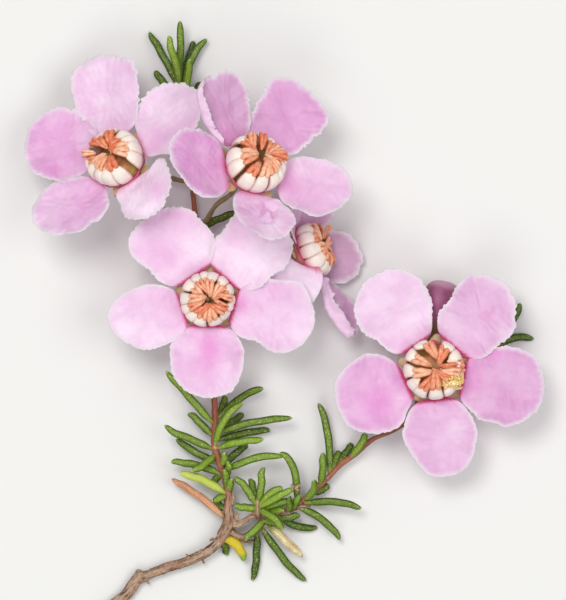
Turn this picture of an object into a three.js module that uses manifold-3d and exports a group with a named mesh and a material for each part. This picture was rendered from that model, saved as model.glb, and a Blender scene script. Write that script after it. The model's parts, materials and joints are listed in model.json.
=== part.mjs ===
// A cut flowering sprig of babingtonia lying on a surface and seen from above.
// Millimetres, +Z up. The flowers look up, the woody end points to -Y and the leafy tip to +Y.
import * as THREE from 'three';
import { mergeVertices } from 'three/addons/utils/BufferGeometryUtils.js';
import Module from 'manifold-3d';

// Driving dimensions, in millimetres
const PETAL = { thickness: 0.2, claw: 0.5 };
const LEAF = { width: 0.56, thickness: 0.42 };
const STEM_RADIUS = { foot: 0.4, tip: 0.38 };
const UPRIGHT_RADIUS = { foot: 0.36, tip: 0.2 };
const SIDE_RADIUS = { foot: 0.34, tip: 0.15 };
const SPUR_RADIUS = { foot: 0.28, tip: 0.2 };
const STALK_RADIUS = 0.19;
const CUP = { depth: 2.4, wall: 0.3, neck: 0.34, disc: 0.55 };
const STYLE = { height: 0.95, foot: 0.16, waist: 0.09, head: 0.17 };
const SEPAL = { reach: 0.55, width: 0.6, thickness: 0.16, drop: 0.42 };
const FILAMENT = { width: 0.8, thickness: 0.3, rise: 1.8, bulge: 0.5 };
const ANTHER = { length: 0.62, width: 0.34, thickness: 0.3 };
const RING = { width: 0.34, height: 0.3 };
const BUD = { radius: 1.3 };

// Clearance between two pieces that are seated on each other
const SEAT = 0.12;
const LEAF_SEAT = 0.2;

// Places are read on a layout grid that looks straight down on the sprig:
// columns count to the right and rows count towards the woody end.
const GRID_STEPS_PER_MM = 13.8;
const GRID_ORIGIN = { column: 284.4, row: 323.2 };

function at(column, row, height) {
  const x = (column - GRID_ORIGIN.column) / GRID_STEPS_PER_MM;
  const y = (GRID_ORIGIN.row - row) / GRID_STEPS_PER_MM;
  return new THREE.Vector3(x, y, height);
}

// Corners closer than this are one corner, and a joined surface may be this much simpler.
const WELD = 1e-4;
const SIMPLER_BY = 0.006;

const wasm = await Module();
wasm.setup();

// Joins and closed surfaces

function solid(geometry) {
  const bare = geometry.clone();
  bare.deleteAttribute('normal');
  bare.deleteAttribute('uv');
  const merged = mergeVertices(bare, WELD);
  return new wasm.Manifold(new wasm.Mesh({
    numProp: 3,
    vertProperties: merged.attributes.position.array,
    triVerts: new Uint32Array(merged.index.array),
  }));
}

// Joins geometries that grow from one another into one closed body.
function grownTogether(geometries) {
  const whole = geometries.map(solid).reduce((sum, next) => sum.add(next));
  const mesh = whole.simplify(SIMPLER_BY).getMesh();
  return new THREE.BufferGeometry()
    .setAttribute('position', new THREE.BufferAttribute(mesh.vertProperties, 3))
    .setIndex(new THREE.BufferAttribute(mesh.triVerts, 1));
}

// A closed solid lofted through rings of points. A ring of one point ends the solid in a tip.
function loft(rings) {
  const positions = [];
  const starts = rings.map((ring) => {
    const start = positions.length / 3;
    ring.forEach((point) => positions.push(point.x, point.y, point.z));
    return start;
  });
  const triangles = [];
  for (let k = 0; k + 1 < rings.length; k += 1) {
    const [here, next] = [rings[k].length, rings[k + 1].length];
    const sides = Math.max(here, next);
    for (let i = 0; i < sides; i += 1) {
      const j = (i + 1) % sides;
      const [a, b] = [starts[k] + (i % here), starts[k] + (j % here)];
      const [c, d] = [starts[k + 1] + (i % next), starts[k + 1] + (j % next)];
      if (here > 1) triangles.push(a, b, c);
      if (next > 1) triangles.push(b, d, c);
    }
  }
  for (const [k, turned] of [[0, true], [rings.length - 1, false]]) {
    for (let i = 1; i + 1 < rings[k].length; i += 1) {
      const [b, c] = turned ? [i + 1, i] : [i, i + 1];
      triangles.push(starts[k], starts[k] + b, starts[k] + c);
    }
  }
  const geometry = new THREE.BufferGeometry();
  geometry.setAttribute('position', new THREE.Float32BufferAttribute(positions, 3));
  geometry.setIndex(triangles);
  return geometry;
}

// Rings of an oval section along a curve. reach(s) gives the half width and half thickness at s,
// and upright is the direction that the thickness of the first ring lies nearest to. From ring to
// ring the section is carried along without a twist.
function ovalRings(curve, stations, sides, upright, reach) {
  const across = new THREE.Vector3().crossVectors(upright, curve.getTangent(stations[0]));
  return stations.map((s) => {
    const centre = curve.getPoint(s);
    const [halfWidth, halfThickness] = reach(s);
    if (halfWidth === 0) return [centre];
    const tangent = curve.getTangent(s);
    across.projectOnPlane(tangent).normalize();
    const normal = new THREE.Vector3().crossVectors(tangent, across);
    return Array.from({ length: sides }, (_, i) => {
      const angle = (2 * Math.PI * i) / sides;
      return centre.clone()
        .addScaledVector(across, halfWidth * Math.cos(angle))
        .addScaledVector(normal, halfThickness * Math.sin(angle));
    });
  });
}

function evenSteps(count) {
  return Array.from({ length: count + 1 }, (_, i) => i / count);
}

// Wood: stems and twigs

const UP = new THREE.Vector3(0, 0, 1);
const WOOD_SIDES = 8;
const NEAREST_STEPS = 240;

class Twig {
  constructor(points, radius, knots = []) {
    this.curve = new THREE.CatmullRomCurve3(points, false, 'centripetal');
    this.radius = radius;
    this.knots = knots;
  }

  radiusAt(s) {
    const plain = THREE.MathUtils.lerp(this.radius.foot, this.radius.tip, s);
    const swelling = this.knots.reduce((sum, knot) => {
      return sum + knot.rise * Math.exp(-(((s - knot.s) / knot.spread) ** 2));
    }, 0);
    return plain + swelling;
  }

  geometry(steps) {
    return loft(ovalRings(this.curve, evenSteps(steps), WOOD_SIDES, UP, (s) => {
      return [this.radiusAt(s), this.radiusAt(s)];
    }));
  }

  // The place along the twig, from 0 to 1, that lies nearest to a point seen from above.
  nearest(point) {
    const samples = evenSteps(NEAREST_STEPS);
    const distance = (s) => {
      const p = this.curve.getPoint(s);
      return Math.hypot(p.x - point.x, p.y - point.y);
    };
    return samples.reduce((best, s) => (distance(s) < distance(best) ? s : best), 0);
  }

  // Where a piece that heads towards a point is seated on the bark: beside the twig, or on its end.
  seat(from, towards, clearance) {
    const s = this.nearest(from);
    const axis = this.curve.getPoint(s);
    const heading = towards.clone().sub(axis);
    if (s < 1) heading.projectOnPlane(this.curve.getTangent(s));
    return axis.addScaledVector(heading.normalize(), this.radiusAt(s) + clearance);
  }

  root(from) {
    return this.curve.getPoint(this.nearest(from));
  }
}

const woodyStem = new Twig([
  at(92, 622, 0.5), at(122, 598, 0.5), at(139, 579, 0.56), at(160, 572, 0.62),
  at(191, 562, 0.75), at(212, 551, 0.95), at(222, 540, 1.1), at(227, 530, 1.2),
], STEM_RADIUS, [
  { s: 0, rise: 0.1, spread: 0.25 },
  { s: 0.37, rise: 0.12, spread: 0.06 },
  { s: 0.95, rise: 0.1, spread: 0.06 },
]);

const uprightTwig = new Twig([
  at(228.5, 520.5, 1.3), at(228, 508, 1.4), at(228, 493, 1.5), at(225, 478, 1.6), at(219, 462, 1.7),
  at(214, 446, 1.75), at(215, 422, 1.8), at(214, 398, 1.75), at(210, 360, 1.5), at(205, 310, 1.15),
  at(199, 250, 1.1), at(194, 205, 1.1), at(189, 165, 1.05), at(184, 125, 1.0), at(179, 80, 1.0),
], UPRIGHT_RADIUS);

const sideTwig = new Twig([
  at(235, 524, 1.2), at(247, 521, 1.25), at(259, 516, 1.25), at(278, 514, 1.2), at(298, 507, 1.1),
  at(312, 493, 1.1), at(329, 478, 1.1), at(340, 466, 1.0), at(356, 455, 0.95), at(372, 441, 0.85),
  at(396, 430, 0.75), at(440, 402, 0.6), at(475, 372, 0.55), at(499, 344, 0.6),
], SIDE_RADIUS);

const spurTwig = new Twig([
  at(258, 512, 1.75), at(257.5, 505, 1.9), at(258, 497, 2.0),
], SPUR_RADIUS);

const WOOD = {
  stem: { name: 'woody_stem', twig: woodyStem, steps: 12, finish: 'bark' },
  upright: { name: 'upright_twig', twig: uprightTwig, steps: 26, finish: 'twig' },
  side: { name: 'side_twig', twig: sideTwig, steps: 24, finish: 'twig' },
  spur: { name: 'spur_twig', twig: spurTwig, steps: 2, finish: 'twig' },
};

// Leaves: narrow, nearly round in section, with a short narrow foot and a pointed tip

const LEAF_STATIONS = [0, 0.1, 0.35, 0.72, 0.91, 1];
const LEAF_FULLNESS = [0.5, 0.78, 1, 0.95, 0.62, 0];
const LEAF_SIDES = 6;

function leafGeometry(foot, bend, tip) {
  const curve = new THREE.QuadraticBezierCurve3(foot, bend, tip);
  return loft(ovalRings(curve, LEAF_STATIONS, LEAF_SIDES, UP, (s) => {
    const full = LEAF_FULLNESS[LEAF_STATIONS.indexOf(s)];
    return [0.5 * LEAF.width * full, 0.5 * LEAF.thickness * full];
  }));
}

// Leaves by the twig that bears them. A leaf without a name has grown together with its twig here.
const LEAVES = {
  upright: [
    { name: 'leaf_left_1', tip: at(165, 371, 2.4), bend: at(188, 397, 2.8), foot: at(214, 424, 1.8) },
    { tip: at(188, 413, 1.2), bend: at(198, 421, 1.5), foot: at(214, 436, 1.8) },
    { name: 'leaf_left_2', tip: at(163, 427, 2.3), bend: at(186, 438, 2.5), foot: at(214, 449, 1.8) },
    { tip: at(175, 440, 0.9), bend: at(190, 451, 1.2), foot: at(217, 464, 1.7) },
    { tip: at(170, 463, 1.8), bend: at(190, 461, 1.6), foot: at(221, 475, 1.6) },
    { tip: at(192, 472, 3.0), bend: at(203, 467, 3.0), foot: at(216, 455, 1.8) },
    { tip: at(224, 396, 0.9), bend: at(225, 405, 1.2), foot: at(215, 420, 1.8) },
    { name: 'leaf_front', tip: at(243, 402, 3.0), bend: at(219, 418, 3.6), foot: at(214, 446, 1.8) },
    { tip: at(264, 388, 1.5), bend: at(243, 392, 1.3), foot: at(215, 419, 1.8) },
    { tip: at(244, 415, 0.5), bend: at(236, 420, 0.7), foot: at(215, 432, 1.75) },
    { name: 'leaf_right_1', tip: at(293, 419, 1.8), bend: at(258, 418, 2.2), foot: at(215, 434, 1.8) },
    { tip: at(271, 431, 0.6), bend: at(250, 431, 0.9), foot: at(214, 441, 1.75) },
    { name: 'leaf_right_2', tip: at(264, 441, 2.6), bend: at(242, 439, 2.8), foot: at(214, 450, 1.8) },
    { tip: at(248, 445, 0.9), bend: at(238, 451, 1.1), foot: at(221, 467, 1.7) },
    { tip: at(224, 453, 3.2), bend: at(226, 458, 2.8), foot: at(220, 466, 1.7) },
    { name: 'leaf_right_3', tip: at(284, 457, 2.2), bend: at(255, 454, 2.6), foot: at(223, 472, 1.7) },
    { tip: at(231, 479, 3.1), bend: at(231, 486, 2.8), foot: at(227, 490, 1.5) },
    { tip: at(213, 503, 0.5), bend: at(218, 505, 0.8), foot: at(228, 511, 1.4) },
    { name: 'leaf_yellow_green', tip: at(179, 474, 2.6), bend: at(200, 476, 2.6), foot: at(227, 494, 1.5) },
    { name: 'leaf_dried_brown', tip: at(171, 480, 1.0), bend: at(194, 491, 1.1), foot: at(228, 518, 1.4) },
    { tip: at(237, 212, 1.5), bend: at(220, 216, 1.3), foot: at(200, 229, 1.1) },
    { name: 'leaf_tip_left', tip: at(148, 30, 0.25), bend: at(161, 50, 1.2), foot: at(179, 86, 1.0) },
    { name: 'leaf_tip_long', tip: at(180, 19, 1.5), bend: at(180, 45, 1.9), foot: at(179, 80, 1.0) },
    { name: 'leaf_tip_front', tip: at(167, 35, 3.4), bend: at(175, 55, 3.4), foot: at(179, 84, 1.0) },
    { name: 'leaf_tip_right', tip: at(207, 37, 0.7), bend: at(188, 52, 0.95), foot: at(180, 90, 1.0) },
    { tip: at(194, 39, 0.1), bend: at(187, 56, 0.25), foot: at(179, 88, 1.0) },
    { tip: at(190, 58, 2.6), bend: at(189, 72, 2.4), foot: at(181, 102, 1.0) },
    { tip: at(154, 69, 0.22), bend: at(160, 80, 0.6), foot: at(181, 101, 1.0) },
    { tip: at(201, 80, 0.3), bend: at(196, 91, 0.7), foot: at(182, 108, 1.0) },
  ],
  spur: [
    { tip: at(234, 478, 2.3), bend: at(246, 485, 2.6), foot: at(258, 505, 1.9) },
    { tip: at(251, 479, 1.3), bend: at(252, 490, 1.6), foot: at(258, 503, 1.9) },
    { tip: at(262, 467, 2.8), bend: at(263, 483, 3.0), foot: at(258, 500, 1.9) },
    { tip: at(283, 488, 2.6), bend: at(272, 490, 2.8), foot: at(258, 506, 1.9) },
    { tip: at(234, 507, 2.2), bend: at(245, 508, 2.4), foot: at(258, 509, 1.8) },
    { tip: at(284, 529, 2.7), bend: at(272, 513, 3.2), foot: at(258, 508, 1.8) },
  ],
  side: [
    { tip: at(284, 511, 2.6), bend: at(274, 509, 2.4), foot: at(263, 515, 1.25) },
    { tip: at(246, 540, 0.4), bend: at(254, 530, 0.7), foot: at(262, 516, 1.25) },
    { tip: at(294, 488, 2.0), bend: at(281, 494, 2.2), foot: at(266, 515, 1.25) },
    { name: 'leaf_hooked', tip: at(279, 454, 2.4), bend: at(299, 457, 2.6), foot: at(298, 507, 1.1) },
    { name: 'leaf_side_tall', tip: at(318, 403, 0.9), bend: at(332, 430, 1.0), foot: at(331, 476, 1.1) },
    { tip: at(322, 453, 2.2), bend: at(325.5, 468, 2.3), foot: at(321, 486, 1.1) },
    { tip: at(313, 480, 3.2), bend: at(319, 490, 2.8), foot: at(305, 500, 1.1) },
    { tip: at(367, 434, 1.9), bend: at(364, 443, 1.7), foot: at(352, 458, 0.95) },
    { tip: at(353, 444, 0.5), bend: at(349, 450, 0.6), foot: at(340, 466, 1.0) },
    { tip: at(341, 452, 0.6), bend: at(336, 458, 0.75), foot: at(333, 473, 1.1) },
    { tip: at(329, 485, 0.5), bend: at(325, 491, 0.55), foot: at(312, 493, 1.1) },
    { name: 'leaf_low_1', tip: at(362, 510, 1.6), bend: at(342, 499, 2.0), foot: at(302, 503, 1.1) },
    { name: 'leaf_low_2', tip: at(341, 542, 0.9), bend: at(327, 518, 1.4), foot: at(298, 508, 1.1) },
    { tip: at(318, 528, 0.22), bend: at(300, 534, 0.5), foot: at(279, 514, 1.2) },
    { tip: at(300, 515, 0.4), bend: at(292, 518, 0.6), foot: at(282, 513, 1.2) },
    { name: 'leaf_low_long', tip: at(307, 583, 0.23), bend: at(284, 566, 0.9), foot: at(252, 520, 1.25) },
    { name: 'leaf_dried_tan', tip: at(303, 558, 1.1), bend: at(286, 543, 1.6), foot: at(262, 516, 1.25) },
    { name: 'leaf_low_curved', tip: at(252, 583, 0.23), bend: at(258, 560, 0.6), foot: at(245, 522, 1.25) },
    { tip: at(536, 339, 0.06), bend: at(516, 333, 0.41), foot: at(497, 347, 0.6) },
    { tip: at(523, 303, 0.8), bend: at(516, 320, 0.8), foot: at(496, 348, 0.6) },
  ],
  stem: [
    { name: 'leaf_yellow', tip: at(244, 562, 0.7), bend: at(238, 544, 1.3), foot: at(223, 538, 1.1) },
    { tip: at(225, 557, 0.25), bend: at(227, 549, 0.4), foot: at(220, 543, 1.1) },
  ],
};

// Flowers: a frame on the rim of each cup, with z along the flower's own axis

class FlowerFrame {
  // lean is the angle between the flower's axis and the vertical, and heading is where it leans to.
  constructor(centre, radius, lean, heading) {
    this.centre = centre;
    this.radius = radius;
    const turn = THREE.MathUtils.degToRad(heading);
    const hinge = new THREE.Vector3(-Math.sin(turn), Math.cos(turn), 0);
    const rotation = new THREE.Quaternion().setFromAxisAngle(hinge, THREE.MathUtils.degToRad(lean));
    this.matrix = new THREE.Matrix4().compose(centre, rotation, new THREE.Vector3(1, 1, 1));
    this.axis = UP.clone().applyQuaternion(rotation);
    this.rotation = rotation;
  }

  // A point at an azimuth in degrees, a distance from the axis and a height above the rim.
  point(azimuth, distance, height) {
    const angle = THREE.MathUtils.degToRad(azimuth);
    return new THREE.Vector3(distance * Math.cos(angle), distance * Math.sin(angle), height)
      .applyMatrix4(this.matrix);
  }

  outward(azimuth) {
    const angle = THREE.MathUtils.degToRad(azimuth);
    return new THREE.Vector3(Math.cos(angle), Math.sin(angle), 0).applyQuaternion(this.rotation);
  }
}

const CUP_SEGMENTS = 12;
const STALK_SIDES = 6;
const SIDEWAYS = new THREE.Vector3(1, 0, 0);

// The cup tapers down to its stalk. Inside it are the disc and the style, which grow with it.
function cupGeometry(frame) {
  const rim = frame.radius - 0.08;
  const profile = [
    [0, -CUP.depth - 0.15],
    [0.6 * CUP.neck, -CUP.depth - 0.1],
    [CUP.neck, -CUP.depth + 0.25],
    [0.62 * rim, -0.55 * CUP.depth],
    [0.9 * rim, -0.24 * CUP.depth],
    [rim, 0],
    [rim - CUP.wall, 0],
    [rim - 2 * CUP.wall, -CUP.disc],
    [STYLE.foot, -CUP.disc],
    [STYLE.waist, 0.5 * STYLE.height],
    [STYLE.head, STYLE.height - 0.1],
    [0, STYLE.height],
  ].map(([distance, height]) => new THREE.Vector2(distance, height));
  return new THREE.LatheGeometry(profile, CUP_SEGMENTS)
    .rotateX(0.5 * Math.PI)
    .applyMatrix4(frame.matrix);
}

function sepalGeometry(frame, azimuth) {
  return new THREE.SphereGeometry(1, 5, 3)
    .scale(SEPAL.reach, 0.5 * SEPAL.width, 0.5 * SEPAL.thickness)
    .translate(frame.radius - 0.1, 0, -SEPAL.drop)
    .rotateZ(THREE.MathUtils.degToRad(azimuth))
    .applyMatrix4(frame.matrix);
}

function stalkThrough(points, steps) {
  const curve = new THREE.CatmullRomCurve3(points, false, 'centripetal');
  return loft(ovalRings(curve, evenSteps(steps), STALK_SIDES, SIDEWAYS, () => {
    return [STALK_RADIUS, STALK_RADIUS];
  }));
}

function stalkGeometry(frame, via, twig) {
  const top = frame.point(0, 0, -CUP.depth);
  const end = via.at(-1);
  return stalkThrough([top, ...via, twig.seat(end, end, SEAT)], 5);
}

// One stamen: a broad filament that bows out and in, narrows, and ends in an anther that points to the axis.
const STAMEN_STATIONS = [0, 0.3, 0.6, 0.8, 0.9, 1];

function stamenGeometry(frame, azimuth) {
  const r = frame.radius;
  const spine = new THREE.CubicBezierCurve3(
    frame.point(azimuth, r - 0.22, SEAT + 0.1),
    frame.point(azimuth, r + FILAMENT.bulge, 0.5 * FILAMENT.rise),
    frame.point(azimuth, r - 0.1, FILAMENT.rise + 0.1),
    frame.point(azimuth, 0.58 * r - 0.5 * ANTHER.length, FILAMENT.rise),
  );
  const section = [
    [0.75 * FILAMENT.width, 0.9 * FILAMENT.thickness],
    [FILAMENT.width, FILAMENT.thickness],
    [0.85 * FILAMENT.width, FILAMENT.thickness],
    [0.3 * FILAMENT.width, 0.7 * FILAMENT.thickness],
    [ANTHER.width, ANTHER.thickness],
    [0.5 * ANTHER.width, 0.5 * ANTHER.thickness],
  ];
  const outward = frame.outward(azimuth);
  return loft(ovalRings(spine, STAMEN_STATIONS, 4, outward, (s) => {
    const [width, thickness] = section[STAMEN_STATIONS.indexOf(s)];
    return [0.5 * width, 0.5 * thickness];
  }));
}

// The stamens stand on a low ring that grows on the rim of the cup.
function crownGeometry(frame, stamens, firstAzimuth) {
  const outer = frame.radius - 0.06;
  const inner = outer - RING.width;
  const profile = [
    [inner, SEAT], [outer, SEAT], [outer, SEAT + RING.height], [inner, SEAT + RING.height], [inner, SEAT],
  ].map(([distance, height]) => new THREE.Vector2(distance, height));
  const ring = new THREE.LatheGeometry(profile, CUP_SEGMENTS)
    .rotateX(0.5 * Math.PI)
    .applyMatrix4(frame.matrix);
  const ringOfStamens = Array.from({ length: stamens }, (_, i) => {
    return stamenGeometry(frame, firstAzimuth + (360 * i) / stamens);
  });
  return grownTogether([ring, ...ringOfStamens]);
}

// Petals

const PETAL_ROWS = [0, 0.12, 0.32, 0.56, 0.78, 0.93, 0.995];
const PETAL_COLUMNS = [-1, -0.5, 0, 0.5, 1];
const FOLDED_COLUMNS = [-1, -0.8, -0.6, -0.3, 0, 0.3, 0.6, 0.8, 1];
const SECTION_STEPS = 12;
const FOLD_START = 5;
const FOLD_END = 7;

// Half width of one side of a petal, from its claw at s = 0 to its tip at s = 1.
function halfWidth(s, [widest, place]) {
  if (s < place) {
    const opened = Math.sin((0.5 * Math.PI * s) / place) ** 0.8;
    return THREE.MathUtils.lerp(PETAL.claw, widest, opened);
  }
  return widest * Math.sqrt(1 - ((s - place) / (1 - place)) ** 2.2);
}

// The petal's cross section, walked outwards from the midline: the margin lifts by the cup angle,
// and a folded margin turns over within its strip, which opens out towards the claw and the tip.
function crossSection(s, reach, half, petal, side) {
  const folded = petal.fold && petal.fold.side === side;
  const turn = folded ? petal.fold.turn * Math.min(1, FOLD_START * s, FOLD_END * (1 - s)) : 0;
  let [across, lift] = [0, 0];
  for (let i = 0; i < SECTION_STEPS; i += 1) {
    const walked = ((i + 0.5) / SECTION_STEPS) * reach;
    let angle = petal.cup * (walked / half);
    if (folded) {
      const past = (walked - (half - petal.fold.strip)) / petal.fold.round;
      angle += turn * THREE.MathUtils.clamp(past, 0, 1);
    }
    across += (Math.cos(THREE.MathUtils.degToRad(angle)) * reach) / SECTION_STEPS;
    lift += (Math.sin(THREE.MathUtils.degToRad(angle)) * reach) / SECTION_STEPS;
  }
  return [across, lift];
}

// A petal is a thin closed shell around a surface that runs from the rim of the cup to the tip.
function petalGeometry(frame, petal) {
  const foot = frame.point(petal.azimuth, frame.radius + 0.02 + SEAT, -0.06);
  const length = foot.distanceTo(petal.tip);
  const facing = petal.facing ?? frame.axis;
  const knee = foot.clone().addScaledVector(frame.outward(petal.azimuth), petal.spring * length)
    .addScaledVector(facing, 0.1 * petal.arch);
  const shoulder = foot.clone().lerp(petal.tip, 0.62).addScaledVector(facing, petal.arch);
  const midline = new THREE.CubicBezierCurve3(foot, knee, shoulder, petal.tip);
  const columns = petal.fold ? FOLDED_COLUMNS : PETAL_COLUMNS;
  const grid = PETAL_ROWS.map((s) => {
    const centre = midline.getPoint(s);
    const tangent = midline.getTangent(s);
    const left = new THREE.Vector3().crossVectors(facing, tangent).normalize();
    left.applyAxisAngle(tangent, THREE.MathUtils.degToRad(petal.bank * Math.min(1, 2 * s)));
    const normal = new THREE.Vector3().crossVectors(tangent, left);
    return columns.map((t) => {
      const side = t > 0 ? 'left' : 'right';
      const half = halfWidth(s, petal[side]);
      const [across, lift] = crossSection(s, Math.abs(t) * half, half, petal, side);
      return centre.clone()
        .addScaledVector(left, Math.sign(t) * across)
        .addScaledVector(normal, lift);
    });
  });
  return shell(grid, PETAL.thickness);
}

// A closed shell of even thickness around a grid of points.
function shell(grid, thickness) {
  const [rows, columns] = [grid.length, grid[0].length];
  const clamped = (k, last) => Math.min(Math.max(k, 0), last);
  const point = (r, c) => grid[clamped(r, rows - 1)][clamped(c, columns - 1)];
  const faces = [1, -1].map((face) => grid.map((row, r) => row.map((centre, c) => {
    const along = point(r + 1, c).clone().sub(point(r - 1, c));
    const across = point(r, c + 1).clone().sub(point(r, c - 1));
    const normal = along.cross(across).normalize();
    return centre.clone().addScaledVector(normal, 0.5 * face * thickness);
  })));
  const positions = faces.flat(2).flatMap((p) => [p.x, p.y, p.z]);
  const index = (face, r, c) => (face * rows + r) * columns + c;
  const triangles = [];
  const quad = (a, b, c, d) => triangles.push(a, b, c, a, c, d);
  for (let r = 0; r + 1 < rows; r += 1) {
    for (let c = 0; c + 1 < columns; c += 1) {
      quad(index(0, r, c), index(0, r + 1, c), index(0, r + 1, c + 1), index(0, r, c + 1));
      quad(index(1, r, c), index(1, r, c + 1), index(1, r + 1, c + 1), index(1, r + 1, c));
    }
    const last = columns - 1;
    quad(index(0, r, 0), index(1, r, 0), index(1, r + 1, 0), index(0, r + 1, 0));
    quad(index(0, r, last), index(0, r + 1, last), index(1, r + 1, last), index(1, r, last));
  }
  for (let c = 0; c + 1 < columns; c += 1) {
    const last = rows - 1;
    quad(index(0, 0, c), index(0, 0, c + 1), index(1, 0, c + 1), index(1, 0, c));
    quad(index(0, last, c), index(1, last, c), index(1, last, c + 1), index(0, last, c + 1));
  }
  const geometry = new THREE.BufferGeometry();
  geometry.setAttribute('position', new THREE.Float32BufferAttribute(positions, 3));
  geometry.setIndex(triangles);
  return geometry;
}

// left and right are the sides of a petal seen from the cup to the tip: its greatest half width
// and how far along the petal that lies. spring is how far it runs straight out from the rim,
// and facing is the way its inner face looks, if not up the axis.
const PLAIN_PETAL = { spring: 0.28, arch: 0.3, cup: 14, bank: 0, fold: null, facing: null };

const FLOWERS = [
  {
    name: 'flower_a',
    frame: new FlowerFrame(at(119, 162, 5.6), 2.1, 32, 138),
    stamens: 12,
    twig: 'upright',
    stalk: [at(146, 176, 2.9), at(163, 176, 2.1), at(181, 180, 1.5)],
    petals: [
      { azimuth: 102, tip: at(103, 55, 3.6), left: [2.75, 0.7], right: [2.6, 0.66] },
      { azimuth: 163, tip: at(24, 140, 3.6), left: [2.65, 0.5], right: [3.0, 0.5] },
      { azimuth: 235, tip: at(37, 228, 6.6), left: [2.4, 0.5], right: [2.35, 0.55] },
      { azimuth: 301, tip: at(161, 210, 9.0), left: [2.8, 0.45], right: [1.8, 0.5] },
      { azimuth: 25, tip: at(195, 89, 6.0), left: [2.8, 0.5], right: [2.3, 0.6] },
    ],
  },
  {
    name: 'flower_b',
    frame: new FlowerFrame(at(252, 168, 7.6), 2.2, 34, 48),
    stamens: 13,
    twig: 'upright',
    stalk: [at(231, 194, 4.9), at(216, 205, 3.6), at(205, 221, 2.1)],
    petals: [
      { azimuth: 180, tip: at(170, 153, 10.4), left: [3.15, 0.5], right: [2.3, 0.5] },
      {
        azimuth: 118, tip: at(221, 73, 7.8), left: [3.2, 0.8], right: [1.85, 0.62],
        fold: { side: 'left', strip: 0.8, round: 0.5, turn: 140 },
      },
      { azimuth: 55, tip: at(316, 97, 5.4), left: [3.0, 0.74], right: [2.3, 0.6] },
      { azimuth: -15, tip: at(350, 195, 7.0), left: [2.35, 0.5], right: [2.7, 0.5] },
      { azimuth: -85, tip: at(268, 241, 11.2), left: [2.3, 0.5], right: [2.3, 0.4] },
    ],
  },
  {
    name: 'flower_c',
    frame: new FlowerFrame(at(306, 253, 2.6), 1.95, 76, 22),
    stamens: 11,
    twig: 'upright',
    stalk: [at(262, 268, 1.75), at(235, 273, 1.5), at(211, 273, 1.3)],
    petals: [
      { azimuth: 228, tip: at(272, 298, 4.6), left: [2.2, 0.6], right: [2.2, 0.6], arch: 0.7, facing: UP },
      { azimuth: 156, tip: at(290, 190, 5.0), left: [1.5, 0.5], right: [1.9, 0.6] },
      {
        azimuth: 84, tip: at(326, 192, 1.5), left: [1.9, 0.6], right: [1.6, 0.6],
        facing: new THREE.Vector3(0.6, 0.24, 0.76),
      },
      { azimuth: 12, tip: at(363, 262, 0.7), left: [2.1, 0.55], right: [2.0, 0.55], spring: 0.12, facing: UP },
      {
        azimuth: 300, tip: at(350, 342, 2.7), left: [1.9, 0.55], right: [1.9, 0.55], bank: 24,
        fold: { side: 'right', strip: 0.8, round: 0.5, turn: 140 },
      },
    ],
  },
  {
    name: 'flower_d',
    frame: new FlowerFrame(at(208, 299, 5.0), 1.96, 3, 200),
    stamens: 14,
    twig: 'upright',
    stalk: [at(209, 303, 2.3), at(214, 318, 1.9), at(217, 336, 1.6)],
    petals: [
      { azimuth: 123, tip: at(152, 211, 5.4), left: [3.1, 0.6], right: [3.1, 0.55] },
      { azimuth: 50, tip: at(282, 220, 5.7), left: [2.9, 0.5], right: [2.8, 0.55] },
      { azimuth: -17, tip: at(315, 321, 5.5), left: [2.6, 0.6], right: [2.75, 0.6] },
      { azimuth: -92, tip: at(209, 399, 5.3), left: [2.75, 0.45], right: [2.7, 0.5] },
      { azimuth: -160, tip: at(108, 324, 5.2), left: [2.4, 0.45], right: [2.35, 0.5] },
    ],
  },
  {
    name: 'flower_e',
    frame: new FlowerFrame(at(434, 370, 3.5), 2.2, 3, 100),
    stamens: 12,
    twig: 'side',
    stalk: [at(432, 374, 0.95), at(428, 388, 0.75), at(418, 402, 0.7)],
    petals: [
      { azimuth: 124, tip: at(373, 275, 4.2), left: [2.95, 0.6], right: [2.95, 0.6] },
      { azimuth: 50, tip: at(502, 281, 4.4), left: [2.8, 0.5], right: [3.0, 0.5] },
      { azimuth: -13, tip: at(545, 392, 3.9), left: [2.75, 0.6], right: [3.1, 0.5] },
      { azimuth: -84, tip: at(449, 477, 3.5), left: [2.55, 0.55], right: [2.8, 0.45] },
      { azimuth: -155, tip: at(336, 407, 3.9), left: [2.95, 0.5], right: [2.9, 0.5] },
    ],
  },
];

// The closed bud lies behind the last flower, on a stalk of its own.
const BUD_STATIONS = [0, 0.12, 0.38, 0.62, 0.82, 0.95, 1];
const BUD_FULLNESS = [0.2, 0.45, 0.8, 1, 0.85, 0.45, 0];
const BUD_SIDES = 10;

function budGeometry() {
  const foot = at(435, 336, 1.3);
  const top = at(445, 281, 1.6);
  const head = loft(ovalRings(new THREE.LineCurve3(foot, top), BUD_STATIONS, BUD_SIDES, UP, (s) => {
    const reach = BUD.radius * BUD_FULLNESS[BUD_STATIONS.indexOf(s)];
    return [reach, reach];
  }));
  const bend = at(405, 402, 0.8);
  const stalk = stalkThrough([
    foot.clone().lerp(top, 0.05), at(423, 352, 1.1), at(409, 378, 0.9), bend,
    sideTwig.seat(at(404, 420, 0.75), bend, SEAT),
  ], 7);
  return grownTogether([head, stalk]);
}

// The finished sprig

const FINISH = {
  bark: { color: 0x8a6f5c, roughness: 0.9 },
  twig: { color: 0x8a4a34, roughness: 0.8 },
  leaf: { color: 0x6f9a3a, roughness: 0.5 },
  yellow: { color: 0xc9b021, roughness: 0.55 },
  dried: { color: 0xb07a4a, roughness: 0.8 },
  petal: { color: 0xe6b7df, roughness: 0.55 },
  cup: { color: 0x9a8f5a, roughness: 0.6 },
  stamen: { color: 0xeedccb, roughness: 0.5 },
  bud: { color: 0xa86a90, roughness: 0.6 },
};

const sprig = new THREE.Group();

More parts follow.
